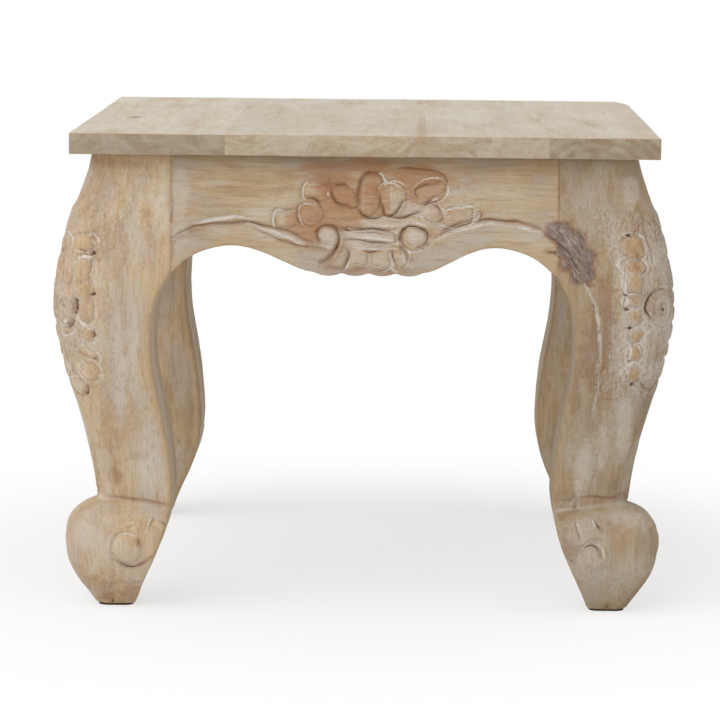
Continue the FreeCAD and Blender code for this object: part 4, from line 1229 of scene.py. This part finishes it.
class TABLE_OT_legs(bpy.types.Operator):
    """Carve the four legs"""

    bl_idname = "coffee_table.legs"
    bl_label = "Legs"

    def execute(self, context):
        colours = palette(warm_stain="amber_wood")
        for number, (side, (sign_x, sign_y, tone, wash)) in enumerate(LEGS.items()):
            node = f"leg_{side}"
            name = f"carved_leg_{side}"
            obj = copy_of(node, name)
            flip = np.array([-sign_x, -sign_y, 1.0])
            self.prepare(obj, node, flip, number)
            self.carve(obj, flip, number)
            material = limed_wood(name, "z", colours, 21 + number, True, tone, wash=wash)
            dress(obj, node, material)
        return {"FINISHED"}

    def corner_of(self, obj, flip):
        """Places from the corner of the top: in from each of its edges, and up."""
        return points_of(obj) * flip + CORNER

    def put_back(self, obj, local, flip):
        """Moves the vertices to places given from the corner of the top."""
        move_points(obj, (local - CORNER) * flip)

    def knee_drawing(self, across, heights, number):
        """The knee's plan, as its lines were cut."""
        return waver(np.stack([across, heights], axis=1), 301 + number, 1.2)

    def face_drawing(self, local, face, number):
        """A side face's plan, as its lines were cut."""
        return waver(local[:, [1 - face, 2]], 321 + number, 0.6)

    def faces(self, number):
        """The two outer faces of a leg, each with its kind: 0 as on the left leg, 1 as on the right one."""
        return (1, number % 2), (0, (number + 1) % 2)

    def flatten(self, obj, flip, half_wide, foot, head, depth):
        """Takes the solid's relief off the knee; gives back its places, its plan and the knee's share."""
        local = self.corner_of(obj, flip)
        across, reach, base = self.knee_plan(local)
        height = local[:, 2]
        knee = ease(half_wide - np.abs(across), 0, 6) * ease(height, *foot) * ease(head - height, 0, 12)
        knee = knee * (reach < base + depth)
        local[:, :2] += ((base - reach) * knee / ROOT_2)[:, None]
        self.put_back(obj, local, flip)
        return local, across, knee

    def prepare(self, obj, node, flip, number):
        """Takes the solid's relief off and makes the mesh finer where it will be carved."""
        lines, lobes, _ = KNEES[number % 2]
        shape_by(obj, "REMESH", mode="VOXEL", voxel_size=sizes().leg_mesh)
        self.flatten(obj, flip, KNEE_HALF + 2, (200, 212), KNEE_HEAD + 2, RELIEF)
        shape_by(obj, "REMESH", mode="VOXEL", voxel_size=sizes().leg_mesh)
        shape_by(obj, "SMOOTH", factor=0.5, iterations=3)
        for stage in range(3):
            local, across, knee = self.flatten(obj, flip, KNEE_HALF, KNEE_FOOT, KNEE_HEAD, 3.5)
            settle(obj, node, knee)
            if stage == 0:
                fine = (np.minimum(local[:, 0], local[:, 1]) < 24) & (local[:, 2] < 116) | (knee > 0.02)
                if number == BARK_LEG:
                    fine |= (bark_patch(self.front_plan(local))[0] > 0.02) & (local[:, 1] < 30)
                subdivide_where(obj, fine)
            elif stage == 1:
                plan = self.knee_drawing(across, local[:, 2], number)
                carved = np.abs(carve_lines(plan, lines, mirror_past=KNEE_MIDDLE)[0]) > FINE_CUT
                carved |= np.abs(raise_lobes(plan, lobes, True)[1] - 0.6) < 1.1
                carved &= knee > 0.1
                for face, kind in self.faces(number):
                    plan = self.face_drawing(local, face, number)
                    cut = np.abs(carve_lines(plan, *FACE_LINES[kind])[0]) > FINE_CUT
                    carved |= cut & (local[:, face] < 24)
                subdivide_where(obj, carved)
        local = self.corner_of(obj, flip)
        soften(obj, ease(93.5 - np.maximum(local[:, 0], local[:, 1]), 0, 2) + (local[:, 2] < 300), 2)

    def front_plan(self, local):
        """The front right leg's face in the plan of the front apron: along and height."""
        return np.stack([HALF_TOP - local[:, 0], local[:, 2]], axis=1)

    def carve(self, obj, flip, number):
        """Moves the knee and the outer faces by the drawing and stores the layers of the finish."""
        right_kind = number % 2 == 1
        lines, lobes, holes = KNEES[number % 2]
        local = self.corner_of(obj, flip)
        normals = normals_of(obj) * flip
        across, reach, base = self.knee_plan(local)
        plan = self.knee_drawing(across, local[:, 2], number)
        facing = ease(-(normals[:, 0] + normals[:, 1]) / ROOT_2, 0.2, 0.5) * (reach < base + 4)
        facing = facing * ease(KNEE_HALF - np.abs(across), 0, 4)
        depth, limed, crease, brown, chalk = carve_lines(plan, lines, mirror_past=KNEE_MIDDLE)
        drilled = sink_holes(plan, holes)
        domes = raise_lobes(plan, lobes, True)[0]
        outside = raise_lobes(plan, [row for row in lobes if row[3] < 2.2 * row[2]], True)[1]
        rise = 0.55 * domes - depth - 2.2 * drilled
        # Brown with painted shade round the foot of the raised lobes
        brown = np.maximum(brown, (0.9 if right_kind else 0.45) * ring(outside, 0.2, 0.9))
        limed = np.maximum(limed, (1.0 if right_kind else 0.85) * ring(outside, 1.9, 1.0))
        side_lobes = [row for row in lobes if row[0] > 12]
        stain = np.clip(raise_lobes(plan, side_lobes, True)[0] / 2.2, 0, 1) ** 2 * facing
        stain = stain * (0.85 if right_kind else 0.45) * np.where(across > 0, 1, 0.4)
        marks = hand_finish(local, 10, 34, (131 + number, 147 + number))
        chalk = (1.0 if right_kind else 0.4) * np.clip(0.7 + 0.5 * ripple(plan, 10, 161 + number), 0, 1)
        chalk = chalk * ease(plan[:, 1], 208, 240) * ease(388 - plan[:, 1], 0, 40) * (1 - stain) * facing
        chalk = chalk * ease(41 - np.abs(across), 0, 8)
        # Drilled eyes get brown and dark dirt with painted shade in them
        limed, brown = limed * facing, np.maximum(brown, 0.8 * drilled) * facing
        crease = np.maximum(crease, drilled) * facing
        local[:, :2] -= (rise * sizes().carving_share * facing / ROOT_2)[:, None]
        knee = ease(plan[:, 1], *KNEE_FOOT) * ease(KNEE_HEAD - plan[:, 1], 0, 12)
        worked = (1.0 if right_kind else 0.6) * facing * knee
        for face, kind in self.faces(number):
            plan = self.face_drawing(local, face, number)
            outward = ease(-normals[:, face], 0.4, 0.75) * (local[:, face] < 40)
            cut, white, dark, edge, pale = carve_lines(plan, *FACE_LINES[kind])
            local[:, face] += cut * outward * sizes().carving_share
            limed = np.maximum(limed, white * outward)
            crease = np.maximum(crease, dark * outward)
            pale_wash, brown_wash = FACE_WASHES[kind]
            pale = np.maximum(0.9 * pale, spots(plan, pale_wash, 401 + number))
            edge = np.maximum(edge, spots(plan, brown_wash, 411 + number))
            chalk = np.maximum(chalk, pale * outward)
            brown = np.maximum(brown, edge * outward)
        bark = np.zeros(len(local))
        if number == BARK_LEG:
            plan = self.front_plan(local)
            outward = ease(-normals[:, 1], 0.3, 0.6)
            cut, _, dark, _, _ = carve_lines(plan, BARK_LINES)
            bark, bark_height = (share * outward for share in bark_rise(plan))
            local[:, 1] -= bark_height - cut * outward
            crease = np.maximum(crease, dark * outward)
        local += normals * marks[:, None]
        joined = ease(local[:, 2], *JOINT_FOOT)
        local[:, :2] += JOINT_LAP * ease(local[:, :2], *LEG_EDGE) * joined[:, None]
        self.put_back(obj, local, flip)
        patchy = 0.65 + 0.5 * ripple(local, 16, 171 + number)
        dust = ripple(local, 24, 421 + number) + 0.4 * ripple(local, 8, 431 + number)
        dust = 0.45 * ease(0.35 + dust, 0.2, 1.0) * ease(112 - local[:, 2], 0, 14)
        keep_layers(
            obj,
            limed=limed * np.clip(patchy, 0.1, 1.2),
            crease=crease * np.clip(1.5 - patchy, 0.35, 1),
            stain=stain,
            brown=brown,
            chalk=np.maximum(chalk, dust),
            worked=np.clip(np.maximum(worked, 1.5 * limed), 0.12, 1),
            bark=bark,
        )
        wear_layers(obj)

    def knee_plan(self, local):
        """Place across the knee, reach in along its diagonal, and the plain knee's reach there."""
        across = (local[:, 0] - local[:, 1]) / ROOT_2
        reach = (local[:, 0] + local[:, 1]) / ROOT_2
        curve = smooth_line(list(zip(FACE_HEIGHTS, FACE_INSETS)))
        inset = np.interp(local[:, 2], curve[:, 0], curve[:, 1])
        radius = np.interp(local[:, 2], FACE_HEIGHTS, CORNER_RADII)
        share = np.abs(across) / radius
        bow = np.where(share < 1 / ROOT_2, ROOT_2 - np.sqrt(np.clip(1 - share**2, 0, 1)), share)
        return across, reach, ROOT_2 * inset + radius * bow

class TABLE_OT_blocks(bpy.types.Operator):
    """Finish the corner blocks behind the legs"""

    bl_idname = "coffee_table.blocks"
    bl_label = "Corner Blocks"

    def execute(self, context):
        colours = palette(limed_pale="inner_wood", limed_grey="inner_wood")
        for number, side in enumerate(LEGS):
            finish_node(f"corner_block_{side}", limed_wood(f"raw_block_{side}", "x", colours, 41 + number))
        return {"FINISHED"}


class TABLE_OT_glides(bpy.types.Operator):
    """Finish the felt pads under the toes"""

    bl_idname = "coffee_table.glides"
    bl_label = "Foot Glides"

    def execute(self, context):
        f = Finish("pressed_felt")
        fuzz = f.cloud(f.place, 2.2, 4.0, 0.7)
        tuft = f.cloud(f.place, 0.5, 3.0, 0.6)
        colours = palette()
        colour = f.blend((fuzz * 0.8 + tuft * 0.5 - 0.3).held(), colours["felt"], colours["crease_brown"])
        material = f.end(colour, (0.86 + fuzz * 0.12).held(), [(fuzz + tuft, 0.6, 0.0004)])
        for side in LEGS:
            finish_node(f"foot_glide_{side}", material)
        return {"FINISHED"}


class TABLE_OT_screws(bpy.types.Operator):
    """Finish the screws"""

    bl_idname = "coffee_table.screws"
    bl_label = "Screws"

    def execute(self, context):
        f = Finish("zinc_plated_steel")
        brush = f.cloud(f.place, 3.0, 3.0, 0.6)
        rust = f.cloud(f.place, 0.7, 4.0, 0.65).past(0.55, 0.75)
        colours = palette()
        colour = f.blend(rust * 0.5, colours["steel"], colours["pore_brown"])
        rough = (0.28 + brush * 0.15 + rust * 0.35).held()
        material = f.end(colour, rough, [(brush, 0.2, 0.0001)], Metallic=1.0)
        for node in ("leg_screws", "top_screws"):
            finish_node(node, material)
        return {"FINISHED"}


class TABLE_OT_stage(bpy.types.Operator):
    """Set the floor, the soft light and the camera"""

    bl_idname = "coffee_table.stage"
    bl_label = "Stage"

    def execute(self, context):
        scene = context.scene
        scene.view_settings.view_transform = "Standard"
        light = scene.coffee_table_light
        self.floor()
        self.sky(scene, light.sky)
        self.lamp("key_lamp", (-1.7, -1.5, 2.0), 70, light.key_strength)
        self.lamp("fill_lamp", (0.8, -1.6, 2.0), 110, light.fill_strength)
        self.camera(scene)
        return {"FINISHED"}

    def floor(self):
        bpy.ops.object.select_all(action="DESELECT")
        bpy.ops.mesh.primitive_plane_add(size=14, location=(0, 0, 0))
        obj = bpy.context.object
        obj.name = obj.data.name = "pale_floor"
        f = Finish("pale_floor")
        grain = f.cloud(f.place, 0.02, 3.0, 0.5)
        colour = f.blend(grain * 0.1, (0.94, 0.94, 0.94, 1), (0.92, 0.92, 0.92, 1))
        plain = f.add("ShaderNodeBsdfDiffuse", None, {"Color": colour})
        white = f.add("ShaderNodeEmission", None, {"Strength": 1.0})
        away = f.length(f.scaled(f.place, (1.0, 1.0, 0.0)))
        share = f.seen() * (0.64 + away.past(280.0, 700.0) * 0.36)
        both = f.add("ShaderNodeMixShader", None, {0: share, 1: plain, 2: white})
        f.add("ShaderNodeOutputMaterial", None, {"Surface": both})
        obj.data.materials.append(f.material)

    def sky(self, scene, strength):
        world = bpy.data.worlds.new("pale_sky")
        scene.world = world
        world.use_nodes = True
        n = Nodes(world.node_tree)
        soft = n.add("ShaderNodeBackground", None, {"Color": (1, 1, 1, 1), "Strength": strength})
        white = n.add("ShaderNodeBackground", None, {"Color": (1, 1, 1, 1)})
        both = n.add("ShaderNodeMixShader", None, {0: n.seen(), 1: soft, 2: white})
        n.add("ShaderNodeOutputWorld", None, {"Surface": both})

    def lamp(self, name, place, spread, strength):
        data = bpy.data.lights.new(name, "SUN")
        data.angle = math.radians(spread)
        data.energy = strength
        obj = bpy.data.objects.new(name, data)
        bpy.context.scene.collection.objects.link(obj)
        obj.location = place
        obj.rotation_euler = Vector(place).to_track_quat("Z", "Y").to_euler()

    def camera(self, scene):
        data = bpy.data.cameras.new("photo_camera")
        data.sensor_width = 36
        data.lens = CAMERA_LENS
        data.clip_end = 50
        obj = bpy.data.objects.new("photo_camera", data)
        scene.collection.objects.link(obj)
        turn = Matrix.Rotation(CAMERA_PAN, 4, "Z") @ Matrix.Rotation(math.pi / 2 - CAMERA_DIP, 4, "X")
        obj.matrix_world = Matrix.Translation(CAMERA_PLACE) @ turn @ Matrix.Rotation(CAMERA_ROLL, 4, "Z")
        scene.camera = obj


class TABLE_PT_panel(bpy.types.Panel):
    """Lists the table's pieces"""

    bl_idname = "TABLE_PT_panel"
    bl_label = "Coffee Table"
    bl_space_type = "VIEW_3D"
    bl_region_type = "UI"
    bl_category = "Coffee Table"

    def draw(self, context):
        for step in STEPS:
            self.layout.operator(step.bl_idname)
        for group in GROUPS:
            values = getattr(context.scene, group)
            for name in values.__annotations__:
                self.layout.prop(values, name)


STEPS = (
    TABLE_OT_boards,
    TABLE_OT_aprons,
    TABLE_OT_legs,
    TABLE_OT_blocks,
    TABLE_OT_glides,
    TABLE_OT_screws,
    TABLE_OT_stage,
)
GROUPS = {
    "coffee_table_sizes": TableSizes,
    "coffee_table_colours": TableColours,
    "coffee_table_light": TableLight,
}


def register():
    for item in (*GROUPS.values(), *STEPS, TABLE_PT_panel):
        bpy.utils.register_class(item)
    for name, group in GROUPS.items():
        setattr(bpy.types.Scene, name, bpy.props.PointerProperty(type=group))


def unregister():
    for name in GROUPS:
        delattr(bpy.types.Scene, name)
    for item in reversed((*GROUPS.values(), *STEPS, TABLE_PT_panel)):
        bpy.utils.unregister_class(item)


def main():
    register()
    bpy.ops.coffee_table.boards()
    bpy.ops.coffee_table.aprons()
    bpy.ops.coffee_table.legs()
    bpy.ops.coffee_table.blocks()
    bpy.ops.coffee_table.glides()
    bpy.ops.coffee_table.screws()
    bpy.ops.coffee_table.stage()
    bpy.context.view_layer.update()


if __name__ == "__main__":
    main()
